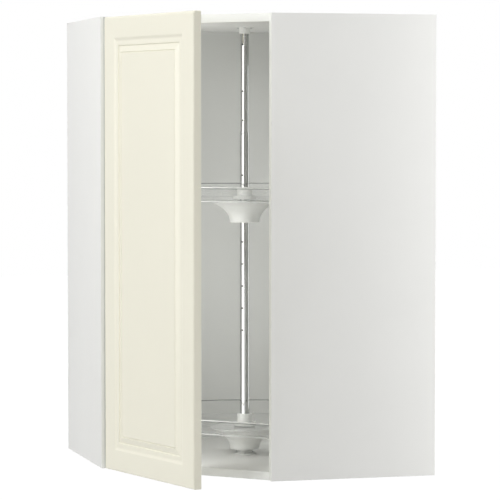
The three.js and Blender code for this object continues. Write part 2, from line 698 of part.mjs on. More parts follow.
const holeHeights = Array.from(
  { length: POST_HOLE_COUNT }, (_, i) => POST_FIRST_HOLE + i * POST_HOLE_PITCH,
);
const lockHeight = POST_TOP - 5;
const lockHole = crossRod(POST_HOLE / 2, -2 * POST_RADIUS, 0, 'y', HOLE_ROUND).translate(0, 0, lockHeight);
const outerPost = cut(
  tube(POST_RADIUS, POST_RADIUS - POST_WALL, POST_BOTTOM, POST_TOP, POST_ROUND),
  ...postHoles(holeHeights.filter((z) => z < POST_TOP - POST_HOLE_PITCH)), lockHole,
);
const innerPostTop = CEILING - TOP_FLANGE_HEIGHT - CLEAR;
const innerPost = cut(
  tube(INNER_POST_RADIUS, INNER_POST_RADIUS - POST_WALL, INNER_POST_BOTTOM, innerPostTop, POST_ROUND),
  ...postHoles(INNER_POST_HOLES.map((drop) => CEILING - drop)),
  ...postHoles(holeHeights.filter((z) => z > INNER_POST_BOTTOM && z < POST_TOP)),
);
carousel.add(piece('post_outer_tube', outerPost, CHROME));
carousel.add(piece('post_inner_tube', innerPost, CHROME));

const lockScrew = crossRod(
  POST_HOLE / 2 - CLEAR, -POST_RADIUS - 0.4, -INNER_POST_RADIUS - CLEAR, 'y', HOLE_ROUND,
);
carousel.add(piece('post_lock_screw', lockScrew.translate(0, 0, lockHeight), STEEL));

const stubTop = TRAY_BOTTOMS.lower - HUB_HEIGHT + HUB_SEAT - BEARING_THICKNESS - 2 * CLEAR;
const spigotRadius = POST_RADIUS - POST_WALL - CLEAR;

function screwHolesIn(places, depth) {
  const hole = screwHole(FITTING_SCREW.shank, depth, 5);
  return places.map((place) => hole.clone().applyMatrix4(place));
}

// The rings of screws are laid out in the cabinet's frame, so these two fittings stay in it.
const stubBore = POST_RADIUS + CLEAR;
const floorFitting = cut(
  turned([
    [0, BOARD], [FLOOR_FLANGE_RADIUS, BOARD], [FLOOR_FLANGE_RADIUS, BOARD + FLOOR_FLANGE_HEIGHT],
    [FLOOR_STUB_RADIUS + 1.5, BOARD + FLOOR_FLANGE_HEIGHT],
    [FLOOR_STUB_RADIUS, BOARD + FLOOR_FLANGE_HEIGHT + 1.5],
    [FLOOR_STUB_RADIUS, stubTop], [stubBore, stubTop], [stubBore, BOARD + FLOOR_FLANGE_HEIGHT],
    [spigotRadius, BOARD + FLOOR_FLANGE_HEIGHT],
    [spigotRadius, BOARD + FLOOR_FLANGE_HEIGHT + FLOOR_SPIGOT_LENGTH],
    [0, BOARD + FLOOR_FLANGE_HEIGHT + FLOOR_SPIGOT_LENGTH],
  ]),
  ...screwHolesIn(floorScrews, FLOOR_FLANGE_HEIGHT),
);
const collarBase = CEILING - TOP_COLLAR_HEIGHT;
const collarBore = INNER_POST_RADIUS + CLEAR;
const topFitting = cut(
  turned([
    [collarBore, collarBase], [TOP_COLLAR_RADIUS - 0.8, collarBase],
    [TOP_COLLAR_RADIUS, collarBase + 0.8], [TOP_COLLAR_RADIUS, CEILING - TOP_FLANGE_HEIGHT],
    [TOP_FLANGE_RADIUS, CEILING - TOP_FLANGE_HEIGHT], [TOP_FLANGE_RADIUS, CEILING],
    [collarBore, CEILING],
  ]),
  ...screwHolesIn(topScrews, TOP_FLANGE_HEIGHT),
);
const fittingScrew = screw(
  FITTING_SCREW.head, FITTING_SCREW.headHeight, FITTING_SCREW.shank, FITTING_SCREW.length,
);
cabinet.add(piece('post_floor_fitting', floorFitting, WHITE_PLASTIC));
cabinet.add(piece('post_top_fitting', topFitting, WHITE_PLASTIC));
addCopies(cabinet, 'floor_fitting_screw', fittingScrew, floorScrews, STEEL);
addCopies(cabinet, 'top_fitting_screw', fittingScrew, topScrews, STEEL);

// ---------- what carries each tray ----------

function bearing(seat) {
  const top = seat - CLEAR;
  return tube(BEARING_RADIUS, POST_RADIUS + CLEAR, top - BEARING_THICKNESS, top, POST_ROUND);
}

const lowerSeat = TRAY_BOTTOMS.lower - HUB_HEIGHT + HUB_SEAT;
const upperSeat = TRAY_BOTTOMS.upper - HUB_HEIGHT + HUB_SEAT;
carousel.add(piece('tray_bearing_lower', bearing(lowerSeat), WHITE_PLASTIC));
carousel.add(piece('tray_bearing_upper', bearing(upperSeat), WHITE_PLASTIC));

// The pin goes through the nearest row hole under the upper hub's bearing.
const pinTopLimit = upperSeat - 2 * CLEAR - BEARING_THICKNESS - SUPPORT_PIN_RADIUS;
const supportHole = holeHeights.filter((z) => z <= pinTopLimit).pop();
const supportPin = crossRod(SUPPORT_PIN_RADIUS, -SUPPORT_PIN_LENGTH / 2, SUPPORT_PIN_LENGTH / 2, 'y', 16);
carousel.add(piece('tray_support_pin', supportPin.translate(0, 0, supportHole), STEEL));

// ---------- trays ----------

// D outline: an arc about the axis and a straight edge towards the door, with rounded corners.
function trayOutline(inset, z) {
  const radius = TRAY_RADIUS - inset;
  const flat = TRAY_FLAT - inset;
  const corner = Math.max(TRAY_CORNER - inset, 3);
  const centreY = -(flat - corner);
  const centreX = Math.sqrt((radius - corner) ** 2 - centreY ** 2);
  const join = Math.atan2(centreY, centreX);
  const points = [];
  const arcSteps = 40;
  for (let i = 0; i <= arcSteps; i += 1) {
    const angle = join + ((Math.PI - 2 * join) * i) / arcSteps;
    points.push(new THREE.Vector3(radius * Math.cos(angle), radius * Math.sin(angle), z));
  }
  const cornerSteps = 3;
  for (let i = 1; i <= cornerSteps; i += 1) {
    const angle = Math.PI - join + ((Math.PI / 2 + join) * i) / cornerSteps;
    points.push(new THREE.Vector3(
      -centreX + corner * Math.cos(angle), centreY + corner * Math.sin(angle), z,
    ));
  }
  for (let i = 0; i < cornerSteps; i += 1) {
    const angle = -Math.PI / 2 + ((Math.PI / 2 + join) * i) / cornerSteps;
    points.push(new THREE.Vector3(
      centreX + corner * Math.cos(angle), centreY + corner * Math.sin(angle), z,
    ));
  }
  return points;
}

// Clear dish: flat floor, rolled fillet, upright rim with a rounded lip, bored for the post.
function tray(bottom) {
  const bore = POST_RADIUS + 2 * CLEAR;
  const floorTop = bottom + TRAY_FLOOR;
  const rimTop = bottom + TRAY_RIM_HEIGHT;
  const steps = 3;
  const rings = [];
  for (let i = 0; i <= steps; i += 1) {
    const angle = (Math.PI / 2) * (i / steps);
    const inset = TRAY_FILLET * (1 - Math.sin(angle));
    rings.push(trayOutline(inset, bottom + TRAY_FILLET * (1 - Math.cos(angle))));
  }
  rings.push(trayOutline(0, rimTop - 0.8), trayOutline(0.6, rimTop));
  rings.push(trayOutline(TRAY_WALL - 0.6, rimTop), trayOutline(TRAY_WALL, rimTop - 0.8));
  const inner = TRAY_FILLET - TRAY_WALL;
  for (let i = steps; i >= 0; i -= 1) {
    const angle = (Math.PI / 2) * (i / steps);
    const inset = TRAY_WALL + inner * (1 - Math.sin(angle));
    rings.push(trayOutline(inset, floorTop + inner * (1 - Math.cos(angle))));
  }
  return cut(loft(rings), rod(bore, bottom - 1, floorTop + 1, ROUND));
}

// Trumpet-shaped hub under the tray, hollow round its sleeve, with a seat for the bearing.
function hubCone(bottom) {
  const foot = bottom - HUB_HEIGHT;
  const top = bottom - CLEAR;
  const bore = POST_RADIUS + CLEAR;
  const spread = HUB_TOP_RADIUS - HUB_FOOT_RADIUS;
  const flare = (t) => 0.12 * t + 0.88 * t ** 2.6;
  const steps = 7;
  const lip = 1.6;
  const outer = [];
  const inner = [];
  for (let i = 0; i <= steps; i += 1) {
    const t = i / steps;
    outer.push([HUB_FOOT_RADIUS + spread * flare(t), foot + (HUB_HEIGHT - CLEAR - lip) * t]);
  }
  const webTop = foot + HUB_SEAT + HUB_WALL;
  for (let i = steps; i >= 3; i -= 2) {
    const [r, z] = outer[i];
    inner.push([r - HUB_WALL * 1.2, Math.min(z + HUB_WALL * 0.5, top - 0.4 * (steps - i) - 0.4)]);
  }
  return turned([
    [bore, foot + HUB_SEAT], [HUB_FOOT_RADIUS - HUB_WALL, foot + HUB_SEAT],
    [HUB_FOOT_RADIUS - HUB_WALL, foot], ...outer, [HUB_TOP_RADIUS, top],
    [HUB_TOP_RADIUS - HUB_WALL * 1.2, top], ...inner.slice(1), [HUB_SLEEVE_RADIUS + 6, webTop],
    [HUB_SLEEVE_RADIUS, webTop], [HUB_SLEEVE_RADIUS, top], [bore, top],
  ]);
}

const HUB_SCREW = { head: 3.2, headHeight: 1.6, shank: 1.6, length: 20 };
const HUB_SCREW_RADIUS = (FLANGE_RADIUS + COLLAR_RADIUS) / 2;

function hubScrewPlaces(z) {
  return [0, 1, 2].map((i) => {
    const angle = (2 * Math.PI * i) / 3 + Math.PI / 2;
    return at(HUB_SCREW_RADIUS * Math.cos(angle), HUB_SCREW_RADIUS * Math.sin(angle), z);
  });
}

function hubCollar(bottom) {
  const base = bottom + TRAY_FLOOR + CLEAR;
  const flangeTop = bottom + TRAY_FLOOR + FLANGE_HEIGHT;
  const top = bottom + TRAY_FLOOR + COLLAR_HEIGHT;
  const bore = POST_RADIUS + CLEAR;
  return turned([
    [bore, base], [FLANGE_RADIUS, base], [FLANGE_RADIUS, flangeTop - 1],
    [FLANGE_RADIUS - 1, flangeTop], [COLLAR_RADIUS, flangeTop], [COLLAR_RADIUS, top - 1],
    [COLLAR_RADIUS - 1, top], [bore, top],
  ]);
}

for (const [level, bottom] of Object.entries(TRAY_BOTTOMS)) {
  const flangeTop = bottom + TRAY_FLOOR + FLANGE_HEIGHT;
  const places = hubScrewPlaces(flangeTop);
  const hole = screwHole(HUB_SCREW.shank, HUB_SCREW.length, 5);
  const holes = places.map((place) => hole.clone().applyMatrix4(place));
  const hubScrew = screw(HUB_SCREW.head, HUB_SCREW.headHeight, HUB_SCREW.shank, HUB_SCREW.length);
  carousel.add(piece(`tray_${level}`, cut(tray(bottom), ...holes), CLEAR_PLASTIC));
  carousel.add(piece(`hub_cone_${level}`, cut(hubCone(bottom), ...holes), WHITE_PLASTIC));
  carousel.add(piece(`hub_collar_${level}`, cut(hubCollar(bottom), ...holes), WHITE_PLASTIC));
  addCopies(carousel, `hub_screw_${level}`, hubScrew, places, STEEL);
}

// ---------- the whole ----------

const doorFrame = new THREE.Group();
doorFrame.rotation.z = DIAGONAL;
doorFrame.add(door);

const cornerCarouselCabinet = new THREE.Group();
cornerCarouselCabinet.add(cabinet, doorFrame, carousel);

export default cornerCarouselCabinet;
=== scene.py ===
"""Corner wall cabinet: diagonal framed door, two clear D-shaped trays on a drilled chrome post."""
import math

import bmesh
import bpy
from mathutils import Matrix, Vector


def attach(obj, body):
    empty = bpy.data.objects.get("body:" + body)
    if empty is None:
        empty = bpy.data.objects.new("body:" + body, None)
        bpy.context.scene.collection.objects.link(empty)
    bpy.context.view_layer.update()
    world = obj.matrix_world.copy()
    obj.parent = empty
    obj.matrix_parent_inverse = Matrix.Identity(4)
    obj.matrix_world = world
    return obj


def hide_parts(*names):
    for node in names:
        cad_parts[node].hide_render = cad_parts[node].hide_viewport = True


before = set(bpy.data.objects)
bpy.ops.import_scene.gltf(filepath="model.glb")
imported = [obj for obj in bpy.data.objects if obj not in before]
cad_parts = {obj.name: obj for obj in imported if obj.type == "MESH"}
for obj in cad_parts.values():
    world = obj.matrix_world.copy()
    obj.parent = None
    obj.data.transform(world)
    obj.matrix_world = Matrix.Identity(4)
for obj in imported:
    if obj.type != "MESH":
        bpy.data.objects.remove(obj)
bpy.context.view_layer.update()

MM = 0.001

# ---------- sizes, in millimetres ----------

HEIGHT, BOARD = 1000.0, 18.0
WALL = 336.0                        # carousel axis to both walls
OUTER, INNER, FRONT = -339.0, -321.0, -34.0
CEILING = HEIGHT - BOARD
BAND, BAND_JOINT = 0.8, 0.05        # edge banding and the glue line behind it
HINGE_SHADE_WIDTH = 11.0                         # width of the grey strip of painted shadow beside the hinges, where the door shades the band
BOARD_EASE = 0.3
CAM_INSET, CAM_ALONG = 24.0, (30.0, 280.0)
CAM_BORE, CAM_BORE_DEPTH, CAM_SUNK = 7.6, 12.5, 0.3
CREASE, TUBE_CREASE = 26, 30        # degrees between faces from which an edge stays sharp

DOOR_WIDTH, DOOR_HEIGHT, DOOR_THICKNESS = 396.99, 997.0, 19.0
DOOR_BASE = 1.5
DOOR_BACK_ROUND, DOOR_FRONT_ROUND, DOOR_CORNER, CORNER_LEAD = 1.2, 5.0, 2.4, 4.0
BUMPER_FROM_END, BUMPER_FROM_SIDE = 9.0, 45.0
PIVOT_FROM_EDGE, PIVOT_DEPTH = 18.0, 8.5
CUP_FROM_EDGE, CUP_BORE, CUP_BORE_DEPTH = 22.5, 17.7, 13.3
HINGE_HEIGHTS = (100.0, 900.0)
OPEN_AT_REST = 29.5
DOOR_SETBACK = 0.5                  # the closed door's back face, behind the side boards' front corners
# the pivot along the diagonal front, and from the carousel axis towards the corner of the room
PIVOT_ALONG = -DOOR_WIDTH / 2 + PIVOT_FROM_EDGE
PIVOT_INWARD = (OUTER + FRONT) / math.sqrt(2) + DOOR_SETBACK - PIVOT_DEPTH
# inset from the door's edge and depth: stile, shallow cove, ledge, step, bevel, narrow groove, field
DOOR_RELIEF = (
    (45.5, 0.0), (46.5, 0.06), (48.0, 0.45), (49.5, 1.2), (51.0, 1.85), (53.0, 2.3), (55.0, 2.4),
    (57.0, 2.3), (59.0, 2.2), (62.8, 2.2), (63.4, 2.3), (63.9, 3.9), (64.4, 4.25), (64.9, 4.15),
    (77.3, 0.12), (77.7, 0.08), (78.1, 0.2), (79.1, 1.6), (79.7, 1.6), (80.8, 0.15), (81.2, 0.02),
    (82.6, 0.0), (90.0, 0.0),
)

TRAY_BOTTOMS = {"lower": 79.0, "upper": 591.5}
TRAY_RADIUS, TRAY_FLAT, TRAY_CORNER = 260.0, 190.0, 16.0
TRAY_RIM, TRAY_WALL, TRAY_FLOOR, TRAY_FILLET = 34.3, 2.6, 3.0, 9.0
POST_RADIUS, POST_WALL, POST_BOTTOM, POST_TOP = 11.0, 1.2, 20.7, 746.6
INNER_RADIUS, INNER_BOTTOM, INNER_TOP = 9.4, 590.0, 979.9
ROW_START, ROW_PITCH, ROW_HOLES = 298.7, 50.0, 8
INNER_HOLES = (772.1, 837.6, 942.8)
HUB_HEIGHT, HUB_SEAT, BEARING_HEIGHT = 49.0, 11.0, 1.8
HUB_FOOT, HUB_RIM, HUB_WALL, HUB_FLARE = 33.0, 78.0, 3.0, 47.1
COLLAR_FLANGE, COLLAR_RADIUS, COLLAR_SHOULDER, COLLAR_HEIGHT = 26.0, 17.0, 8.5, 27.0
CLEAR = 0.3

DIAGONAL = Matrix.Rotation(math.radians(-45), 4, "Z")
DOOR_PLACE = (
    DIAGONAL
    @ Matrix.Translation((PIVOT_ALONG * MM, PIVOT_INWARD * MM, 0))
    @ Matrix.Rotation(math.radians(-OPEN_AT_REST), 4, "Z")
)


# ---------- finishes ----------

class Wire:
    """What a node gives out. It takes part in arithmetic, and each step adds a Math node."""

    def __init__(self, nodes, socket):
        self.nodes, self.socket = nodes, socket

    def _math(self, operation, first, second):
        return self.nodes.node("ShaderNodeMath", {"operation": operation}, {0: first, 1: second})

    def __add__(self, other):
        return self._math("ADD", self, other)

    def __sub__(self, other):
        return self._math("SUBTRACT", self, other)

    def __rsub__(self, other):
        return self._math("SUBTRACT", other, self)

    def __mul__(self, other):
        return self._math("MULTIPLY", self, other)

    __radd__ = __add__
    __rmul__ = __mul__


class Nodes:
    """A node tree, to which nodes are added by type, each with its settings and its inputs."""

    def __init__(self, tree):
        self.tree = tree

    def feed(self, socket, value):
        """Links a wire to an input, or every wire of a list, or sets a plain value."""
        for item in value if isinstance(value, list) else [value]:
            if isinstance(item, Wire):
                self.tree.links.new(item.socket, socket)
            else:
                socket.default_value = item

    def node(self, kind, settings=None, inputs=None, outlet=0):
        """Adds a node of a type, sets it up, feeds its inputs and gives one of its outlets."""
        made = self.tree.nodes.new(kind)
        for name, value in (settings or {}).items():
            if name == "stops":
                ramp = made.color_ramp
                for stop, (where, grey) in zip((ramp.elements[0], ramp.elements[1]), value):
                    stop.position, stop.color = where, (grey, grey, grey, 1)
            else:
                setattr(made, name, value)
        for name, value in (inputs or {}).items():
            self.feed(made.inputs[name], value)
        return Wire(self, made.outputs[outlet])


class Finish(Nodes):
    """One material on the Principled shader, whose values are set by name."""

    def __init__(self, name, **surface):
        self.material = bpy.data.materials.new(name)
        self.material.use_nodes = True
        super().__init__(self.material.node_tree)
        self.shader = self.tree.nodes["Principled BSDF"]
        self.set(**surface)
        self.place = self.node("ShaderNodeTexCoord", outlet="Object")

    def set(self, **surface):
        for name, value in surface.items():
            self.feed(self.shader.inputs[name.replace("_", " ")], value)

    def stretched(self, scale):
        return self.node("ShaderNodeMapping", None, {"Vector": self.place, "Scale": scale})

    def noise(self, scale, detail=2.0, roughness=0.5, where=None):
        values = {"Vector": where or self.place, "Scale": scale, "Detail": detail, "Roughness": roughness}
        return self.node("ShaderNodeTexNoise", None, values, "Fac")

    def grains(self, scale, where=None):
        values = {"Vector": where or self.place, "Scale": scale}
        return self.node("ShaderNodeTexVoronoi", None, values, "Distance")

    def ramp(self, value, low, high):
        stops = ((low, 0.0), (high, 1.0))
        return self.node("ShaderNodeValToRGB", {"stops": stops}, {"Fac": value})

    def between(self, mask, first, second):
        values = {"Factor": mask, 6: (*first, 1), 7: (*second, 1)}
        return self.node("ShaderNodeMix", {"data_type": "RGBA"}, values, 2)

    def bump(self, height, strength, depth):
        values = {"Height": height, "Strength": strength, "Distance": depth}
        self.set(Normal=self.node("ShaderNodeBump", None, values))


def tone(red, green, blue, shift=1.0):
    """A linear colour from the 0-255 shade that it looks like."""
    def linear(c):
        c = c * shift / 255
        return c / 12.92 if c <= 0.04045 else ((c + 0.055) / 1.055) ** 2.4
    return tuple(linear(c) for c in (red, green, blue))


def melamine(name, shade, shine, grain):
    """White film over board: cloudy only by a shade, with a fine pressed grain."""
    film = Finish(name, Specular_IOR_Level=0.45)
    cloud = film.noise(9.0, 3.0)
    film.set(Base_Color=film.between(cloud, tone(*shade, 0.993), tone(*shade, 1.007)))
    film.set(Roughness=shine + 0.1 * film.noise(40.0, 2.0))
    film.bump(film.noise(grain, 2.0, 0.6) + 0.5 * film.grains(grain * 0.8), 0.12, 0.0002)
    return film.material


def door_film():
    """Satin cream foil that is drawn over the pressed board, with a faint vertical brush."""
    foil = Finish("cream_door_foil", Specular_IOR_Level=0.5, Coat_Weight=0.12, Coat_Roughness=0.35)
    brush = foil.noise(1.0, 3.0, 0.6, foil.stretched((420, 420, 14)))
    cloud = foil.noise(7.0, 2.0)
    foil.set(Base_Color=foil.between(0.5 * cloud + 0.5 * brush, tone(*CREAM, 0.991), tone(*CREAM, 1.006)))
    foil.set(Roughness=0.33 + 0.08 * brush + 0.05 * cloud)
    foil.bump(0.6 * brush + 0.4 * foil.noise(700.0, 2.0), 0.1, 0.0002)
    return foil.material


def moulded(name, shade, shine=0.32):
    """Injection-moulded plastic: spark-eroded grain and slow flow clouds."""
    plastic = Finish(name, Specular_IOR_Level=0.5)
    flow = plastic.noise(22.0, 2.0, 0.5, plastic.stretched((1, 1, 0.3)))
    plastic.set(Base_Color=plastic.between(flow, tone(*shade, 0.99), tone(*shade, 1.006)))
    plastic.set(Roughness=shine + 0.08 * flow)
    plastic.bump(plastic.grains(1500.0) + 0.6 * plastic.noise(900.0, 2.0), 0.1, 0.00015)
    return plastic.material


def clear_tray(name, shade, cover, clear=1.0):
    """Clear moulded plastic with hair-fine wipe marks; cover is the share that isn't see-through."""
    plastic = Finish(name, Transmission_Weight=clear, IOR=1.45, Alpha=cover)
    wipe = plastic.noise(1.0, 4.0, 0.7, plastic.stretched((60, 900, 900)))
    plastic.set(Base_Color=plastic.between(plastic.noise(12.0), tone(*shade, 0.996), tone(*shade)))
    plastic.set(Roughness=0.012 + 0.05 * plastic.ramp(wipe, 0.52, 0.75))
    plastic.bump(wipe, 0.04, 0.0001)
    return plastic.material


def plated(name, shade, shine, streak, depth):
    """Plated or polished metal with fine marks along and round it."""
    metal = Finish(name, Metallic=1.0)
    marks = metal.noise(1.0, 3.0, 0.6, metal.stretched(streak))
    haze = metal.noise(60.0, 2.0)
    metal.set(Base_Color=metal.between(haze, tone(*shade, 0.985), tone(*shade, 1.01)))
    metal.set(Roughness=shine * (0.8 + 0.4 * marks))
    metal.bump(marks + 0.3 * metal.noise(2500.0), 0.06, depth)
    return metal.material


def soft_bumper():
    """Milky soft plastic of the door's bumpers."""
    rubber = Finish("clear_bumper", Transmission_Weight=0.5, IOR=1.41)
    rubber.set(Base_Color=rubber.between(rubber.noise(200.0), tone(226, 224, 216), tone(236, 234, 228)))
    rubber.set(Roughness=0.3 + 0.15 * rubber.noise(600.0))
    rubber.bump(rubber.noise(1200.0), 0.1, 0.0001)
    return rubber.material


CREAM = (240, 237, 220)
WHITE = (239, 239, 236)
finishes = {
    "white_board": melamine("white_melamine", WHITE, 0.42, 1400.0),
    "edge_band": melamine("white_edge_band", (249, 250, 246), 0.36, 900.0),
    # painted shadow: a grey tone that stands in for the shade the door casts on the hinge-side band
    "painted_hinge_shadow": melamine("grey_seal_strip", (214, 215, 210), 0.45, 900.0),
    "back_white": melamine("white_back_board", (216, 217, 214), 0.5, 700.0),
    "door_foil": door_film(),
    "white_plastic": moulded("white_moulded_plastic", (239, 240, 237)),
    "clear_plastic": clear_tray("clear_tray_plastic", (252, 253, 253), 0.16),
    # a painted highlight and a painted dark refraction line for the tray rims: lit and shaded copies of the
    # clear plastic
    "painted_highlight_lip": clear_tray("clear_tray_bright_edge", (252, 253, 252), 0.85, 0.3),
    "painted_dark_line_lip": clear_tray("clear_tray_dark_edge", (112, 116, 114), 0.55, 0.6),
    "chrome": plated("polished_chrome", (226, 227, 228), 0.07, (1500, 1500, 20), 0.00005),
    "nickel": plated("satin_nickel", (205, 203, 198), 0.27, (900, 900, 120), 0.0001),
    "steel": plated("zinc_plate", (200, 201, 203), 0.32, (700, 700, 700), 0.0001),
    "clear_rubber": soft_bumper(),
}


# ---------- making and placing pieces ----------

def settle(piece, body, slot, stands_for=(), finish=None, crease=CREASE):
    """Gives a mesh its material, unless finish is False, and smooth faces, and hangs it on its body."""
    mesh = piece.data
    if finish is not False:
        mesh.materials.clear()
        mesh.materials.append(finishes[finish or slot])
    mesh.shade_smooth()
    mesh.set_sharp_from_angle(angle=math.radians(crease))
    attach(piece, body)
    if stands_for:
        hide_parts(*stands_for)
    return piece


def new_piece(name, bm):
    """An object in the scene from a bmesh, its faces turned outwards."""
    bmesh.ops.recalc_face_normals(bm, faces=bm.faces)
    mesh = bpy.data.meshes.new(name)
    bm.to_mesh(mesh)
    bm.free()
    piece = bpy.data.objects.new(name, mesh)
    bpy.context.scene.collection.objects.link(piece)
    return piece


def rounded(corners, steps=6):
    """A closed outline of (a, b, rounding) corners with each corner eased by its rounding."""
    points = []
    for i, (a, b, rounding) in enumerate(corners):
        here = Vector((a, b))
        back = Vector(corners[i - 1][:2]) - here
        ahead = Vector(corners[(i + 1) % len(corners)][:2]) - here
        if rounding <= 0:
            points.append(here)
            continue
        reach = rounding / math.tan(back.angle(ahead) / 2)
        reach = min(reach, 0.4 * back.length, 0.4 * ahead.length)
        start, end = here + back.normalized() * reach, here + ahead.normalized() * reach
        points.append(here + back.normalized() * reach * 1.2)
        for k in range(steps + 1):
            s = k / steps
            points.append(start * (1 - s) ** 2 + here * 2 * s * (1 - s) + end * s * s)
        points.append(here + ahead.normalized() * reach * 1.2)
    return points


def skin(bm, rings, closed=True):
    """Faces over rings of points that have equal counts; closed joins the last to the first."""
    rows = [[bm.verts.new(p) for p in ring] for ring in rings]
    pairs = list(zip(rows, rows[1:])) + ([(rows[-1], rows[0])] if closed else [])
    for low, high in pairs:
        for i in range(len(low)):
            j = (i + 1) % len(low)
            bm.faces.new((low[i], low[j], high[j], high[i]))
    return rows


def turned(name, corners, sides=96, place=None):
    """A round piece from (radius, height, rounding) corners, turned about +Z."""
    bm = bmesh.new()
    profile = [p * MM for p in rounded(corners)]
    turns = [2 * math.pi * k / sides for k in range(sides)]
    rings = [[(r * math.cos(a), r * math.sin(a), z) for a in turns] for r, z in profile]
    skin(bm, rings)
    bmesh.ops.remove_doubles(bm, verts=bm.verts, dist=1e-7)
    if place:
        bmesh.ops.transform(bm, matrix=place, verts=bm.verts)
    return new_piece(name, bm)


def slab(bm, outline, low, high, material=0):
    """An upright prism on an outline, in millimetres, with its edges eased."""
    part = bmesh.new()
    rows = [[part.verts.new((x * MM, y * MM, z * MM)) for x, y in outline] for z in (low, high)]
    part.faces.new(rows[0])
    part.faces.new(rows[1])
    for i in range(len(outline)):
        j = (i + 1) % len(outline)
        part.faces.new((rows[0][i], rows[0][j], rows[1][j], rows[1][i]))
    bmesh.ops.recalc_face_normals(part, faces=part.faces)
    bmesh.ops.bevel(
        part, geom=list(part.edges), offset=BOARD_EASE * MM, segments=3, profile=0.5, affect="EDGES"
    )
    for face in part.faces:
        face.material_index = material
    mesh = bpy.data.meshes.new("slab")
    part.to_mesh(mesh)
    part.free()
    bm.from_mesh(mesh)
    bpy.data.meshes.remove(mesh)


def banded_board(name, body_outline, band_outline, low, high, node, shade_outline=None):
    """A board with its front edge banded in its own strip, and a grey strip of painted shadow where one is
    given.
    """
    bm = bmesh.new()
    slab(bm, body_outline, low, high)
    slab(bm, band_outline, low, high, 1)
    if shade_outline:
        slab(bm, shade_outline, low, high, 2)
    piece = new_piece(name, bm)
    for finish in ("white_board", "edge_band", "painted_hinge_shadow"):
        piece.data.materials.append(finishes[finish])
    return settle(piece, "cabinet", "white_board", [node], False)


def eased(node, name, ease, body, slot):
    """A plain piece as its node stands, with its sharp edges eased."""
    bm = bmesh.new()
    bm.from_mesh(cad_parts[node].data)
    bmesh.ops.remove_doubles(bm, verts=bm.verts, dist=3e-6)
    bmesh.ops.dissolve_limit(bm, angle_limit=math.radians(1), verts=bm.verts, edges=bm.edges)
    edges = [e for e in bm.edges if len(e.link_faces) == 2 and e.calc_face_angle(0) > math.radians(50)]
    bmesh.ops.bevel(
        bm, geom=edges, offset=ease * MM, segments=2, profile=0.5, affect="EDGES", clamp_overlap=True
    )
    bmesh.ops.triangulate(bm, faces=bm.faces)
    return settle(new_piece(name, bm), body, slot, [node])


# ---------- repeated pieces, by geometry nodes ----------

class Pattern(Nodes):
    """A geometry node tree whose sizes are named inputs; points come in, a plain mesh goes out."""

    def __init__(self, name, **sizes):
        super().__init__(bpy.data.node_groups.new(name, "GeometryNodeTree"))
        self.name, self.sizes = name, sizes
        port = self.tree.interface.new_socket
        port("Points", in_out="INPUT", socket_type="NodeSocketGeometry")
        for label, value in sizes.items():
            kind = "NodeSocketVector" if isinstance(value, tuple) else "NodeSocketFloat"
            port(label, in_out="INPUT", socket_type=kind).default_value = value
        port("Finish", in_out="INPUT", socket_type="NodeSocketMaterial")
        port("Mesh", in_out="OUTPUT", socket_type="NodeSocketGeometry")
        self.start = self.tree.nodes.new("NodeGroupInput")
        self.end = self.tree.nodes.new("NodeGroupOutput")

    def given(self, label):
        """What comes in at one of the tree's named inputs."""
        return Wire(self, self.start.outputs[label])

    def vector(self, x=0.0, y=0.0, z=0.0):
        return self.node("ShaderNodeCombineXYZ", None, {0: x, 1: y, 2: z})

    def rod(self, radius, length, centre, sides=24, steps=1):
        """A solid rod along Z, its middle at height centre."""
        rod = self.node("GeometryNodeMeshCylinder", None, {
            "Vertices": sides, "Side Segments": steps, "Radius": radius, "Depth": length,
        })
        return self.moved(rod, self.vector(z=centre))

    def moved(self, geometry, shift=(0.0, 0.0, 0.0), turn=(0.0, 0.0, 0.0), scale=(1.0, 1.0, 1.0)):
        values = {"Geometry": geometry, "Translation": shift, "Rotation": turn, "Scale": scale}
        return self.node("GeometryNodeTransform", None, values)

    def cut(self, geometry, *tools):
        settings = {"operation": "DIFFERENCE", "solver": "EXACT"}
        return self.node("GeometryNodeMeshBoolean", settings, {"Mesh 1": geometry, "Mesh 2": list(tools)})

    def joined(self, *parts):
        settings = {"operation": "UNION", "solver": "EXACT"}
        return self.node("GeometryNodeMeshBoolean", settings, {"Mesh 2": list(parts)})

    def copies(self, geometry, turn=(0.0, 0.0, 0.0)):
        """One copy at each point, turned by the point's own turn attribute when turn is None."""
        if turn is None:
            settings = {"data_type": "FLOAT_VECTOR"}
            turn = self.node("GeometryNodeInputNamedAttribute", settings, {"Name": "turn"})
        values = {"Points": self.given("Points"), "Instance": geometry, "Rotation": turn}
        return self.node("GeometryNodeInstanceOnPoints", None, values)

    def close(self, geometry):
        """Ends the tree: copies made real, and the finish put on."""
        real = self.node("GeometryNodeRealizeInstances", None, {"Geometry": geometry})
        values = {"Geometry": real, "Material": self.given("Finish")}
        self.feed(self.end.inputs["Mesh"], self.node("GeometryNodeSetMaterial", None, values))

    def make(self, name, points, finish, turns=None, **sizes):
        """The pattern on points, in metres, as a plain mesh object."""
        seed = bpy.data.meshes.new(name + "_points")
        seed.from_pydata(points, [], [])
        if turns:
            layer = seed.attributes.new("turn", "FLOAT_VECTOR", "POINT")
            for item, turn in zip(layer.data, turns):
                item.vector = turn
        holder = bpy.data.objects.new(name + "_points", seed)
        bpy.context.scene.collection.objects.link(holder)
        modifier = holder.modifiers.new(self.name, "NODES")
        modifier.node_group = self.tree
        values = {**self.sizes, **sizes, "Finish": finishes[finish]}
        for port in self.tree.interface.items_tree:
            if port.in_out == "INPUT" and port.name in values:
                modifier[port.identifier] = values[port.name]
        depsgraph = bpy.context.evaluated_depsgraph_get()
        mesh = bpy.data.meshes.new_from_object(holder.evaluated_get(depsgraph))
        mesh.name = name
        bpy.data.objects.remove(holder)
        piece = bpy.data.objects.new(name, mesh)
        bpy.context.scene.collection.objects.link(piece)
        return piece


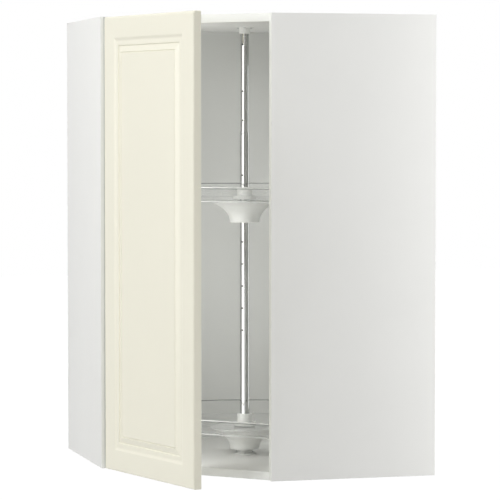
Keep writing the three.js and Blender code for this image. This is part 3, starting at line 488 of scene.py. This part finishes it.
def drilled_tube():
    """A tube with a cross hole at the height of every point."""
    tube = Pattern("drilled_tube", Radius=0.011, Wall=0.0012, Bottom=0.0, Top=1.0, Hole=0.0021, Reach=0.05)
    radius, top, bottom = tube.given("Radius"), tube.given("Top"), tube.given("Bottom")
    length, middle = top - bottom, 0.5 * (top + bottom)
    outer = tube.rod(radius, length, middle, 96, 24)
    bore = tube.rod(radius - tube.given("Wall"), length + 0.01, middle, 96, 24)
    drill = tube.rod(tube.given("Hole"), tube.given("Reach"), 0.0)
    drill = tube.moved(drill, turn=(math.pi / 2, 0.0, -math.pi / 4))
    holes = tube.node("GeometryNodeRealizeInstances", None, {"Geometry": tube.copies(drill)})
    tube.close(tube.cut(tube.cut(outer, bore), holes))
    return tube


def cross_screw():
    """A pan-head screw with a cross recess at every point, head along the point's turned Z."""
    screw = Pattern("cross_screw", Head=0.004, Rise=0.0022, Shank=0.002, Length=0.012)
    head, rise, length = screw.given("Head"), screw.given("Rise"), screw.given("Length")
    rim = screw.rod(head, 0.45 * rise, 0.225 * rise, 32)
    dome = screw.node("GeometryNodeMeshUVSphere", None, {"Segments": 32, "Rings": 16, "Radius": 1.0})
    dome = screw.moved(dome, screw.vector(z=0.3 * rise), scale=screw.vector(head, head, 0.7 * rise))
    keep = screw.rod(0.999 * head, rise, 0.81 * rise, 32)
    settings = {"operation": "INTERSECT", "solver": "EXACT"}
    dome = screw.node("GeometryNodeMeshBoolean", settings, {"Mesh 2": [dome, keep]})
    shank = screw.rod(screw.given("Shank"), length, -0.49 * length, 16)
    body = screw.joined(rim, dome, shank)
    long_side, short_side = 1.05 * head, 0.26 * head
    bars = []
    for x, y in ((long_side, short_side), (short_side, long_side)):
        bar = screw.node("GeometryNodeMeshCube", None, {"Size": screw.vector(x, y, 1.2 * rise)})
        bars.append(screw.moved(bar, screw.vector(z=0.95 * rise)))
    screw.close(screw.copies(screw.cut(body, *bars), None))
    return screw


def cam_lock():
    """A zinc cam disc with a slotted cross, flush in its bore, at every point."""
    lock = Pattern("cam_lock", Radius=0.0074, Depth=0.011, Slot=0.0015)
    radius, depth, slot = lock.given("Radius"), lock.given("Depth"), lock.given("Slot")
    disc = lock.rod(radius, depth, -0.5 * depth, 40)
    long_side = 1.35 * radius
    bars = [
        lock.node("GeometryNodeMeshCube", None, {"Size": lock.vector(x, y, 0.004)})
        for x, y in ((long_side, slot), (slot, long_side))
    ]
    lock.close(lock.copies(lock.cut(disc, *bars), None))
    return lock


def bored(piece, places, radius, depth, sides=64):
    """Sinks round bores, in metres, along the local -Z of each place."""
    for place in places:
        bm = bmesh.new()
        bmesh.ops.create_cone(
            bm, cap_ends=True, segments=sides, radius1=radius, radius2=radius, depth=2 * depth, matrix=place
        )
        tool = new_piece("bore", bm)
        cut = piece.modifiers.new("bore", "BOOLEAN")
        cut.operation, cut.solver, cut.object = "DIFFERENCE", "EXACT", tool
        depsgraph = bpy.context.evaluated_depsgraph_get()
        mesh = bpy.data.meshes.new_from_object(piece.evaluated_get(depsgraph))
        piece.modifiers.clear()
        piece.data = mesh
        bpy.data.objects.remove(tool)


# ---------- camera, light and surroundings, in metres ----------

CAMERA_PLACE = (-1.5454, -5.6314, 0.7614)
CAMERA_DOWN, CAMERA_TURN = 2.762, -15.464   # degrees below level, and from +Y
SENSOR_WIDTH, FOCAL_PIXELS, FRAME_PIXELS = 36, 2587.5, 500
FLOOR_LEVEL = -1.35                         # a wall cabinet hangs well above the floor
FLOOR_REACH = 30
FLOOR_GLOW, FLOOR_GLOW_SHARE = 1.4, 0.7     # seen directly only, so that the floor joins the backdrop
DIM_SIDE = (-0.06, -0.998, 0.0)             # towards the dim side of the studio, behind the camera
DIM_FROM, DIM_TO, DIM_LEVEL = 0.9, 0.97, 0.12   # the cosines between which the backdrop dims


def set_camera():
    """The camera at the photograph's viewing angle."""
    camera = bpy.data.objects.new("camera", bpy.data.cameras.new("camera"))
    bpy.context.scene.collection.objects.link(camera)
    camera.location = CAMERA_PLACE
    camera.rotation_euler = (math.radians(90 - CAMERA_DOWN), 0, math.radians(CAMERA_TURN))
    camera.data.sensor_width = SENSOR_WIDTH
    camera.data.lens = SENSOR_WIDTH * FOCAL_PIXELS / FRAME_PIXELS
    camera.data.clip_end = 100
    bpy.context.scene.camera = camera


def softbox(name, spot, target, width, height, power):
    """A white panel lamp at a spot, turned to its target, that the camera doesn't see."""
    lamp = bpy.data.lights.new(name, "AREA")
    lamp.shape, lamp.size, lamp.size_y = "RECTANGLE", width, height
    lamp.energy = power
    box = bpy.data.objects.new(name, lamp)
    box.location = spot
    box.rotation_euler = (Vector(target) - Vector(spot)).to_track_quat("-Z", "Y").to_euler()
    box.visible_camera = False
    bpy.context.scene.collection.objects.link(box)


def seen_directly(nodes):
    """1 for rays that the eye, polished metal or glass sends, 0 for light that falls on things."""
    seen = nodes.node("ShaderNodeLightPath", outlet="Is Camera Ray")
    for label in ("Is Glossy Ray", "Is Transmission Ray"):
        ray = nodes.node("ShaderNodeLightPath", outlet=label)
        seen = nodes.node("ShaderNodeMath", {"operation": "MAXIMUM"}, {0: seen, 1: ray})
    return seen


def set_surroundings(strength):
    """A white backdrop over a pale floor; strength is the light that the backdrop sheds on things."""
    world = bpy.data.worlds.new("studio")
    bpy.context.scene.world = world
    world.use_nodes = True
    sky = Nodes(world.node_tree)
    where = sky.node("ShaderNodeTexCoord", outlet="Generated")
    facing = sky.node("ShaderNodeVectorMath", {"operation": "DOT_PRODUCT"}, {0: where, 1: DIM_SIDE}, "Value")
    shown = sky.node("ShaderNodeMapRange", None, {
        "Value": facing, "From Min": DIM_FROM, "From Max": DIM_TO, "To Min": 1.0, "To Max": DIM_LEVEL,
    })
    values = {"Value": seen_directly(sky), "To Min": strength, "To Max": shown}
    backdrop = sky.tree.nodes["Background"]
    sky.feed(backdrop.inputs["Color"], (1, 1, 1, 1))
    sky.feed(backdrop.inputs["Strength"], sky.node("ShaderNodeMapRange", None, values))

    floor = Finish("pale_floor", Base_Color=(0.85, 0.85, 0.84, 1), Roughness=0.9, Specular_IOR_Level=0.1)
    plain = Wire(floor, floor.shader.outputs[0])
    glow = floor.node("ShaderNodeEmission", None, {"Strength": FLOOR_GLOW})
    share = FLOOR_GLOW_SHARE * seen_directly(floor)
    mixed = floor.node("ShaderNodeMixShader", None, {0: share, 1: plain, 2: glow})
    floor.feed(floor.tree.nodes["Material Output"].inputs["Surface"], mixed)
    bm = bmesh.new()
    bmesh.ops.create_grid(bm, x_segments=1, y_segments=1, size=FLOOR_REACH)
    ground = new_piece("floor", bm)
    for vertex in ground.data.vertices:
        vertex.co.z = FLOOR_LEVEL
    ground.data.materials.append(floor.material)


set_camera()
set_surroundings(0.16)
softbox("overhead", (-2.1, -1.3, 4.6), (-0.2, -0.2, 0.6), 2.2, 2.2, 116)
softbox("left_strip", (-4.1, 1.0, 1.2), (-0.2, -0.2, 0.5), 0.4, 2.6, 44)
softbox("left_front", (-3.5, -3.0, 2.0), (-0.2, -0.2, 0.5), 1.2, 1.2, 31)
softbox("right_side", (0.8, -0.68, 0.55), (0.3, -0.34, 0.5), 0.5, 2.2, 5.7)
softbox("front", (-1.2, -3.6, 1.6), (-0.1, -0.2, 0.5), 0.9, 0.9, 13)
softbox("front_low", (-0.7, -3.3, -1.0), (-0.1, -0.2, 0.3), 0.9, 0.9, 7)
softbox("behind", (2.6, 2.9, 2.4), (0.0, 0.1, 0.5), 1.6, 1.6, 95)
# two panels inside, one just behind the opening and one beside the rear wall
softbox("inside", (-0.2275, -0.1235, 0.485), (0.5725, 0.4765, 0.485), 0.21, 0.93, 0.88)
softbox("inside_right", (0.22, 0.02, 0.5), (0.04, 0.316, 0.5), 0.12, 0.8, 0.46)
bpy.context.scene.view_settings.view_transform = "Standard"


# ---------- carcass ----------

def across(outline):
    """The mirror image across the vertical plane through the corner."""
    return [(y, x) for x, y in outline][::-1]


def rectangle(x0, x1, y0, y1):
    """A rectangle's corners in plan."""
    return [(x0, y0), (x1, y0), (x1, y1), (x0, y1)]


band_back = FRONT + BAND - BAND_JOINT
side_body = rectangle(OUTER, INNER, FRONT + BAND, WALL)
side_band = rectangle(OUTER, INNER, FRONT, band_back)
hinge_band = rectangle(OUTER, INNER - HINGE_SHADE_WIDTH - BAND_JOINT, FRONT, band_back)
# the inner part of the hinge-side band is painted grey as the door's shadow
hinge_shade = rectangle(INNER - HINGE_SHADE_WIDTH, INNER, FRONT + BAND_JOINT, band_back)
banded_board("left_side_board", side_body, hinge_band, 0, HEIGHT, "side_panel_left", hinge_shade)
banded_board("right_side_board", across(side_body), across(side_band), 0, HEIGHT, "side_panel_right")

band_edge = FRONT + BAND * math.sqrt(2)
board_edge = band_edge + BAND_JOINT
level_body = [(INNER, board_edge), (board_edge, INNER), (WALL, INNER), (WALL, WALL), (INNER, WALL)]
level_band = [(INNER, FRONT), (FRONT, INNER), (band_edge, INNER), (INNER, band_edge)]
floor_board = banded_board("floor_board", level_body, level_band, 0, BOARD, "bottom_panel")
ceiling_board = banded_board("ceiling_board", level_body, level_band, CEILING, HEIGHT, "top_panel")

cam_spots = []
for along in CAM_ALONG:
    cam_spots += [(INNER + CAM_INSET, along), (along, INNER + CAM_INSET)]
flip = Matrix.Rotation(math.pi, 4, "X")
cams = cam_lock()
for board, name, level, turn in (
    (floor_board, "floor_cam_locks", 0.0, flip),
    (ceiling_board, "ceiling_cam_locks", HEIGHT * MM, Matrix.Identity(4)),
):
    spots = [Vector((x * MM, y * MM, level)) for x, y in cam_spots]
    bored(board, [Matrix.Translation(s) @ turn for s in spots], CAM_BORE * MM, CAM_BORE_DEPTH * MM)
    board.data.shade_smooth()
    board.data.set_sharp_from_angle(angle=math.radians(CREASE))
    inward = CAM_SUNK * MM * (-1 if level else 1)
    points = [s + Vector((0, 0, inward)) for s in spots]
    turns = [tuple(turn.to_euler())] * len(points)
    settle(cams.make(name, points, "steel", turns), "cabinet", "steel", (), "steel")

eased("back_board_rear", "rear_back_board", 0.3, "cabinet", "back_white")
eased("back_board_side", "side_back_board", 0.3, "cabinet", "back_white")
eased("back_corner_post", "rear_corner_post", 0.5, "cabinet", "back_white")
for side in ("left", "right"):
    eased(f"hanging_bracket_{side}", f"{side}_hanger", 0.4, "cabinet", "steel")
    eased(f"bracket_cap_{side}", f"{side}_hanger_cover", 0.6, "cabinet", "white_plastic")


# ---------- door ----------

def door_ring(inset, depth, corner):
    """One turn round the door at an inset from its edge, with small round corners."""
    x0, x1 = -PIVOT_FROM_EDGE + inset, DOOR_WIDTH - PIVOT_FROM_EDGE - inset
    z0, z1 = DOOR_BASE + inset, DOOR_BASE + DOOR_HEIGHT - inset
    points = []
    for cx, cz, start in ((x1, z0, -90), (x1, z1, 0), (x0, z1, 90), (x0, z0, 180)):
        sx, sz = (1 if cx == x1 else -1), (1 if cz == z1 else -1)
        centre = Vector((cx - sx * corner, cz - sz * corner))
        arc = []
        for k in range(6):
            angle = math.radians(start + 18 * k)
            arc.append(centre + Vector((math.cos(angle), math.sin(angle))) * corner)
        cosine, sine = math.cos(math.radians(start)), math.sin(math.radians(start))
        before = arc[0] - Vector((-sine, cosine)) * CORNER_LEAD
        after = arc[-1] + Vector((-cosine, -sine)) * CORNER_LEAD
        points += [before, *arc, after]
    return [(p.x * MM, depth * MM, p.y * MM) for p in points]


def door_board():
    """Rings from the middle of the back, round the edge and over the relief to the field."""
    face = PIVOT_DEPTH - DOOR_THICKNESS
    rings = [(30.0, PIVOT_DEPTH, 1.0), (DOOR_BACK_ROUND + 1.0, PIVOT_DEPTH, 2.0)]
    for k in range(5):
        angle = math.radians(22.5 * k)
        inset, sink = DOOR_BACK_ROUND * (1 - math.sin(angle)), DOOR_BACK_ROUND * (1 - math.cos(angle))
        rings.append((inset, PIVOT_DEPTH - sink, DOOR_CORNER))
    rings.append((0.0, PIVOT_DEPTH - DOOR_BACK_ROUND - 1.0, DOOR_CORNER))
    rings.append((0.0, face + DOOR_FRONT_ROUND + 1.0, DOOR_CORNER))
    for k in range(11):
        angle = math.radians(9 * k)
        inset, sink = DOOR_FRONT_ROUND * (1 - math.cos(angle)), DOOR_FRONT_ROUND * (1 - math.sin(angle))
        rings.append((inset, face + sink, DOOR_CORNER))
    rings.append((DOOR_FRONT_ROUND + 1.0, face, 2.0))
    rings += [(inset, face + depth, 1.0) for inset, depth in DOOR_RELIEF]
    bm = bmesh.new()
    rows = skin(bm, [door_ring(*ring) for ring in rings], closed=False)
    bm.faces.new(rows[0])
    bm.faces.new(rows[-1])
    bmesh.ops.transform(bm, matrix=DOOR_PLACE, verts=bm.verts)
    return new_piece("framed_door", bm)


door = door_board()
quarter = Matrix.Rotation(-math.pi / 2, 4, "X")
cup_x = (-PIVOT_FROM_EDGE + CUP_FROM_EDGE) * MM
cup_bores = [
    DOOR_PLACE @ Matrix.Translation((cup_x, PIVOT_DEPTH * MM, z * MM)) @ quarter for z in HINGE_HEIGHTS
]
bored(door, cup_bores, CUP_BORE * MM, CUP_BORE_DEPTH * MM, 96)
settle(door, "door", "door_foil", ["door_panel"])

for i, z in enumerate((DOOR_BASE + BUMPER_FROM_END, DOOR_BASE + DOOR_HEIGHT - BUMPER_FROM_END)):
    place = DOOR_PLACE @ Matrix.Translation(
        ((DOOR_WIDTH - PIVOT_FROM_EDGE - BUMPER_FROM_SIDE) * MM, PIVOT_DEPTH * MM, z * MM)
    ) @ quarter
    dome = [(0, CLEAR, 0), (4.0, CLEAR, 0.1), (3.8, 0.9, 0.8), (2.6, 1.5, 0.8), (0, 1.6, 0)]
    bumper = turned(f"door_bumper_pad_{i + 1}", dome, 40, place)
    settle(bumper, "door", "clear_rubber", [f"door_bumper_{i + 1}"])


# ---------- hinges ----------

screws = cross_screw()

for level in ("lower", "upper"):
    eased(f"hinge_arm_{level}", f"{level}_hinge_arm", 0.35, "cabinet", "nickel")
    eased(f"hinge_plate_{level}", f"{level}_hinge_plate", 0.3, "cabinet", "nickel")
    eased(f"hinge_cup_{level}", f"{level}_hinge_cup", 0.25, "door", "nickel")
    eased(f"hinge_pin_{level}", f"{level}_hinge_pin", 0.2, "door", "steel")


def screw_row(name, nodes, body, slot, heads, turn, head, rise, shank, length):
    """Screws at given head seats, all turned one way, in place of the plain ones."""
    piece = screws.make(
        name, heads, slot, [tuple(turn)] * len(heads),
        Head=head * MM, Rise=rise * MM, Shank=shank * MM, Length=length * MM,
    )
    settle(piece, body, slot, nodes, slot)


sideways = Matrix.Rotation(math.pi / 2, 4, "Y").to_euler()
plate_nodes = [f"hinge_plate_screw_{i}" for i in (1, 2, 3, 4)]
arm_nodes = [f"hinge_arm_screw_{i}" for i in (1, 2)]


def seats(nodes, direction, rise):
    """Points a screw head stands on: its node's far end along direction, less the head."""
    way = Vector(direction)
    points = []
    for node in nodes:
        vertices = [v.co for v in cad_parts[node].data.vertices]
        reach = max(v.dot(way) for v in vertices)
        crown = [v for v in vertices if v.dot(way) > reach - 1e-5]
        middle = sum(crown, Vector()) / len(crown)
        points.append(middle - way * rise * MM)
    return points


screw_row("hinge_plate_screws", plate_nodes, "cabinet", "nickel",
          seats(plate_nodes, (1, 0, 0), 2.2), sideways, head=4.0, rise=2.2, shank=2.0, length=13.0)
screw_row("hinge_arm_screws", arm_nodes, "cabinet", "nickel",
          seats(arm_nodes, (1, 0, 0), 2.0), sideways, head=4.0, rise=2.0, shank=2.0, length=9.0)
door_in = (DOOR_PLACE.to_3x3() @ Vector((0, 1, 0))).normalized()
cup_nodes = [f"hinge_cup_screw_{i}" for i in (1, 2, 3, 4)]
door_turn = (DOOR_PLACE @ quarter).to_euler()
screw_row("hinge_cup_screws", cup_nodes, "door", "nickel",
          seats(cup_nodes, door_in, 1.8), door_turn, head=3.4, rise=1.8, shank=1.8, length=10.0)


# ---------- post and its fittings ----------

tubes = drilled_tube()
row_holes = [ROW_START + ROW_PITCH * i for i in range(ROW_HOLES)]
outer_holes = [(0, 0, z * MM) for z in row_holes]
outer_post = tubes.make(
    "outer_post", outer_holes, "chrome",
    Radius=POST_RADIUS * MM, Wall=POST_WALL * MM, Bottom=POST_BOTTOM * MM, Top=POST_TOP * MM,
)
settle(outer_post, "cabinet", "chrome", ["post_outer_tube"], "chrome", TUBE_CREASE)
shared_holes = [z for z in row_holes if z > INNER_BOTTOM + 10.0]
inner_holes = [(0, 0, z * MM) for z in (*INNER_HOLES, *shared_holes)]
inner_post = tubes.make(
    "inner_post", inner_holes, "chrome",
    Radius=INNER_RADIUS * MM, Wall=POST_WALL * MM, Bottom=INNER_BOTTOM * MM, Top=INNER_TOP * MM,
)
settle(inner_post, "cabinet", "chrome", ["post_inner_tube"], "chrome", TUBE_CREASE)
eased("post_lock_screw", "post_locking_screw", 0.2, "cabinet", "steel")
eased("tray_support_pin", "tray_carrying_pin", 0.3, "cabinet", "steel")

foot_top = BOARD + 2.4
stub_top = TRAY_BOTTOMS["lower"] - HUB_HEIGHT + HUB_SEAT - BEARING_HEIGHT - 2 * CLEAR
floor_fitting = turned("post_floor_socket", [
    (26.0, BOARD, 0), (26.0, foot_top, 0.8), (18.0, foot_top, 0), (16.5, foot_top + 1.5, 0.5),
    (16.5, stub_top, 0.8), (11.3, stub_top, 0.4), (11.3, foot_top, 0), (9.5, foot_top, 0),
    (9.5, foot_top + 26, 0.6), (0, foot_top + 26, 0), (0, BOARD, 0),
])
settle(floor_fitting, "cabinet", "white_plastic", ["post_floor_fitting"])
collar_low = CEILING - 15.0
top_fitting = turned("post_top_socket", [
    (9.7, collar_low, 0.3), (12.4, collar_low, 1.2), (12.4, CEILING - 1.8, 0.6),
    (21.6, CEILING - 1.8, 0.8), (21.6, CEILING, 0), (9.7, CEILING, 0),
])
settle(top_fitting, "cabinet", "white_plastic", ["post_top_fitting"])
floor_nodes = [f"floor_fitting_screw_{i}" for i in (1, 2, 3)]
screw_row("floor_socket_screws", floor_nodes, "cabinet", "steel",
          seats(floor_nodes, (0, 0, 1), 1.5), (0, 0, 0.4), head=3.0, rise=1.5, shank=1.6, length=11.0)
top_nodes = [f"top_fitting_screw_{i}" for i in (1, 2, 3)]
screw_row("top_socket_screws", top_nodes, "cabinet", "steel",
          seats(top_nodes, (0, 0, -1), 1.5), flip.to_euler(), head=3.0, rise=1.5, shank=1.6, length=11.0)


# ---------- carousels ----------

ARC_POINTS = 145                    # points of a tray's round side; its corners and straight side follow


def tray_outline(inset, z):
    """D shape: an arc about the axis and a straight edge towards the door, corners rounded."""
    radius, flat = TRAY_RADIUS - inset, TRAY_FLAT - inset
    corner = max(TRAY_CORNER - inset, 3.0)
    cy = -(flat - corner)
    cx = math.sqrt((radius - corner) ** 2 - cy * cy)
    side = math.atan2(cy, cx)
    points = []
    for k in range(ARC_POINTS):
        angle = side + (math.pi - 2 * side) * k / (ARC_POINTS - 1)
        points.append((radius * math.cos(angle), radius * math.sin(angle)))
    for k in range(1, 10):
        angle = math.pi - side + (math.pi / 2 + side) * k / 9
        points.append((-cx + corner * math.cos(angle), cy + corner * math.sin(angle)))
    for k in range(1, 24):
        points.append((-cx + 2 * cx * k / 24, -flat))
    for k in range(9):
        angle = -math.pi / 2 + (math.pi / 2 + side) * k / 9
        points.append((cx + corner * math.cos(angle), cy + corner * math.sin(angle)))
    return [Vector((x * MM, y * MM, z * MM)) for x, y in points]


def tray_dish(name, bottom):
    """The dish; its straight lip and lower fillet carry a painted highlight, its round lip and the band
    under the straight lip a painted dark refraction line.
    """
    top, floor_top = bottom + TRAY_RIM, bottom + TRAY_FLOOR
    bore = POST_RADIUS + 2 * CLEAR
    inner = TRAY_FILLET - TRAY_WALL
    section = [(TRAY_FILLET + 1.5, bottom, "")]
    for k in range(9):
        angle = math.pi / 2 * k / 8
        inward, up = TRAY_FILLET * (1 - math.sin(angle)), TRAY_FILLET * (1 - math.cos(angle))
        section.append((inward, bottom + up, "low" if 3 <= k <= 4 else ""))
    section += [(0, bottom + TRAY_FILLET + 1.0, ""), (0, top - 4.6, "under"), (0, top - 2.0, "lip")]
    for k in range(7):
        angle = math.pi * k / 6
        section.append((TRAY_WALL / 2 * (1 - math.cos(angle)), top - 1.3 + 1.3 * math.sin(angle), "lip"))
    section += [(TRAY_WALL, top - 2.0, ""), (TRAY_WALL, floor_top + inner + 1.0, "")]
    for k in range(8, -1, -1):
        angle = math.pi / 2 * k / 8
        inward, up = inner * (1 - math.sin(angle)), inner * (1 - math.cos(angle))
        section.append((TRAY_WALL + inward, floor_top + up, ""))
    section.append((TRAY_FILLET + 1.5, floor_top, ""))
    rings = [tray_outline(inset, z) for inset, z, _ in section]
    for z in (floor_top, bottom):
        rings.append([
            Vector((p.x, p.y, 0)).normalized() * bore * MM + Vector((0, 0, z * MM)) for p in rings[0]
        ])
    bm = bmesh.new()
    skin(bm, rings)
    bm.faces.ensure_lookup_table()
    count = len(rings[0])
    for row, (_, _, zone) in enumerate(section):
        # material 1 is the painted highlight, material 2 the painted dark refraction line
        straight, round_part = {"lip": (1, 2), "low": (1, 0), "under": (2, 0)}.get(zone, (0, 0))
        for k in range(count):
            face = bm.faces[row * count + k]
            face.material_index = straight if k >= ARC_POINTS else round_part
    bmesh.ops.transform(bm, matrix=DIAGONAL, verts=bm.verts)
    piece = new_piece(name, bm)
    for finish in ("clear_plastic", "painted_highlight_lip", "painted_dark_line_lip"):
        piece.data.materials.append(finishes[finish])
    return piece


def hub(name, bottom):
    """Trumpet-shaped hub: thin flared wall, inner sleeve and the web that rests on the bearing."""
    foot, top = bottom - HUB_HEIGHT, bottom - CLEAR
    bore, sleeve, seat, wall = POST_RADIUS + CLEAR, 24.0, foot + HUB_SEAT, 2.5

    def flare(t):
        return HUB_FOOT + (HUB_RIM - HUB_FOOT) * (0.12 * t + 0.88 * t ** 2.6)

    steps = 24
    outside = [(flare(k / steps), foot + HUB_FLARE * k / steps, 0) for k in range(1, steps + 1)]
    inside = []
    for k in range(steps - 1, 9, -1):
        z = min(foot + HUB_FLARE * k / steps + 1.3, top - 0.2 * (steps - k) - 0.3)
        inside.append((flare(k / steps) - HUB_WALL, z, 0))
    return turned(name, [
        (bore, seat, 0.3), (30.5, seat, 0.4), (30.5, foot, 0.5), (HUB_FOOT, foot, 0.8), *outside,
        (HUB_RIM, top, 0.4), (HUB_RIM - HUB_WALL, top, 0.3), *inside, (sleeve + 6.0, seat + wall, 0.6),
        (sleeve, seat + wall, 0.6), (sleeve, top, 0.4), (bore, top, 0.3),
    ], 128)


def collar(name, bottom):
    """Clamping collar above a tray: a flange and a sleeve about the post."""
    seat, bore = bottom + TRAY_FLOOR, POST_RADIUS + CLEAR
    base, shoulder, top = seat + CLEAR, seat + COLLAR_SHOULDER, seat + COLLAR_HEIGHT
    return turned(name, [
        (bore, base, 0), (COLLAR_FLANGE, base, 0.3), (COLLAR_FLANGE, shoulder, 1.2),
        (COLLAR_RADIUS, shoulder, 0.8), (COLLAR_RADIUS, top, 1.2), (bore, top, 0.5),
    ])


for level, bottom in TRAY_BOTTOMS.items():
    body = f"{level}_carousel"
    settle(tray_dish(f"{level}_tray_dish", bottom), body, "clear_plastic", [f"tray_{level}"], False)
    settle(hub(f"{level}_hub", bottom), body, "white_plastic", [f"hub_cone_{level}"])
    settle(collar(f"{level}_collar", bottom), body, "white_plastic", [f"hub_collar_{level}"])
    nodes = [f"hub_screw_{level}_{i}" for i in (1, 2, 3)]
    screw_row(f"{level}_hub_screws", nodes, body, "steel",
              seats(nodes, (0, 0, 1), 1.6), (0, 0, 0.3), head=3.2, rise=1.6, shank=1.6, length=18.0)
    seat = bottom - HUB_HEIGHT + HUB_SEAT - CLEAR
    foot = seat - BEARING_HEIGHT
    ring = turned(f"{level}_bearing_ring", [
        (POST_RADIUS + CLEAR, foot, 0.2), (20.0, foot, 0.4), (20.0, seat, 0.4),
        (POST_RADIUS + CLEAR, seat, 0.2),
    ])
    settle(ring, "cabinet", "white_plastic", [f"tray_bearing_{level}"])
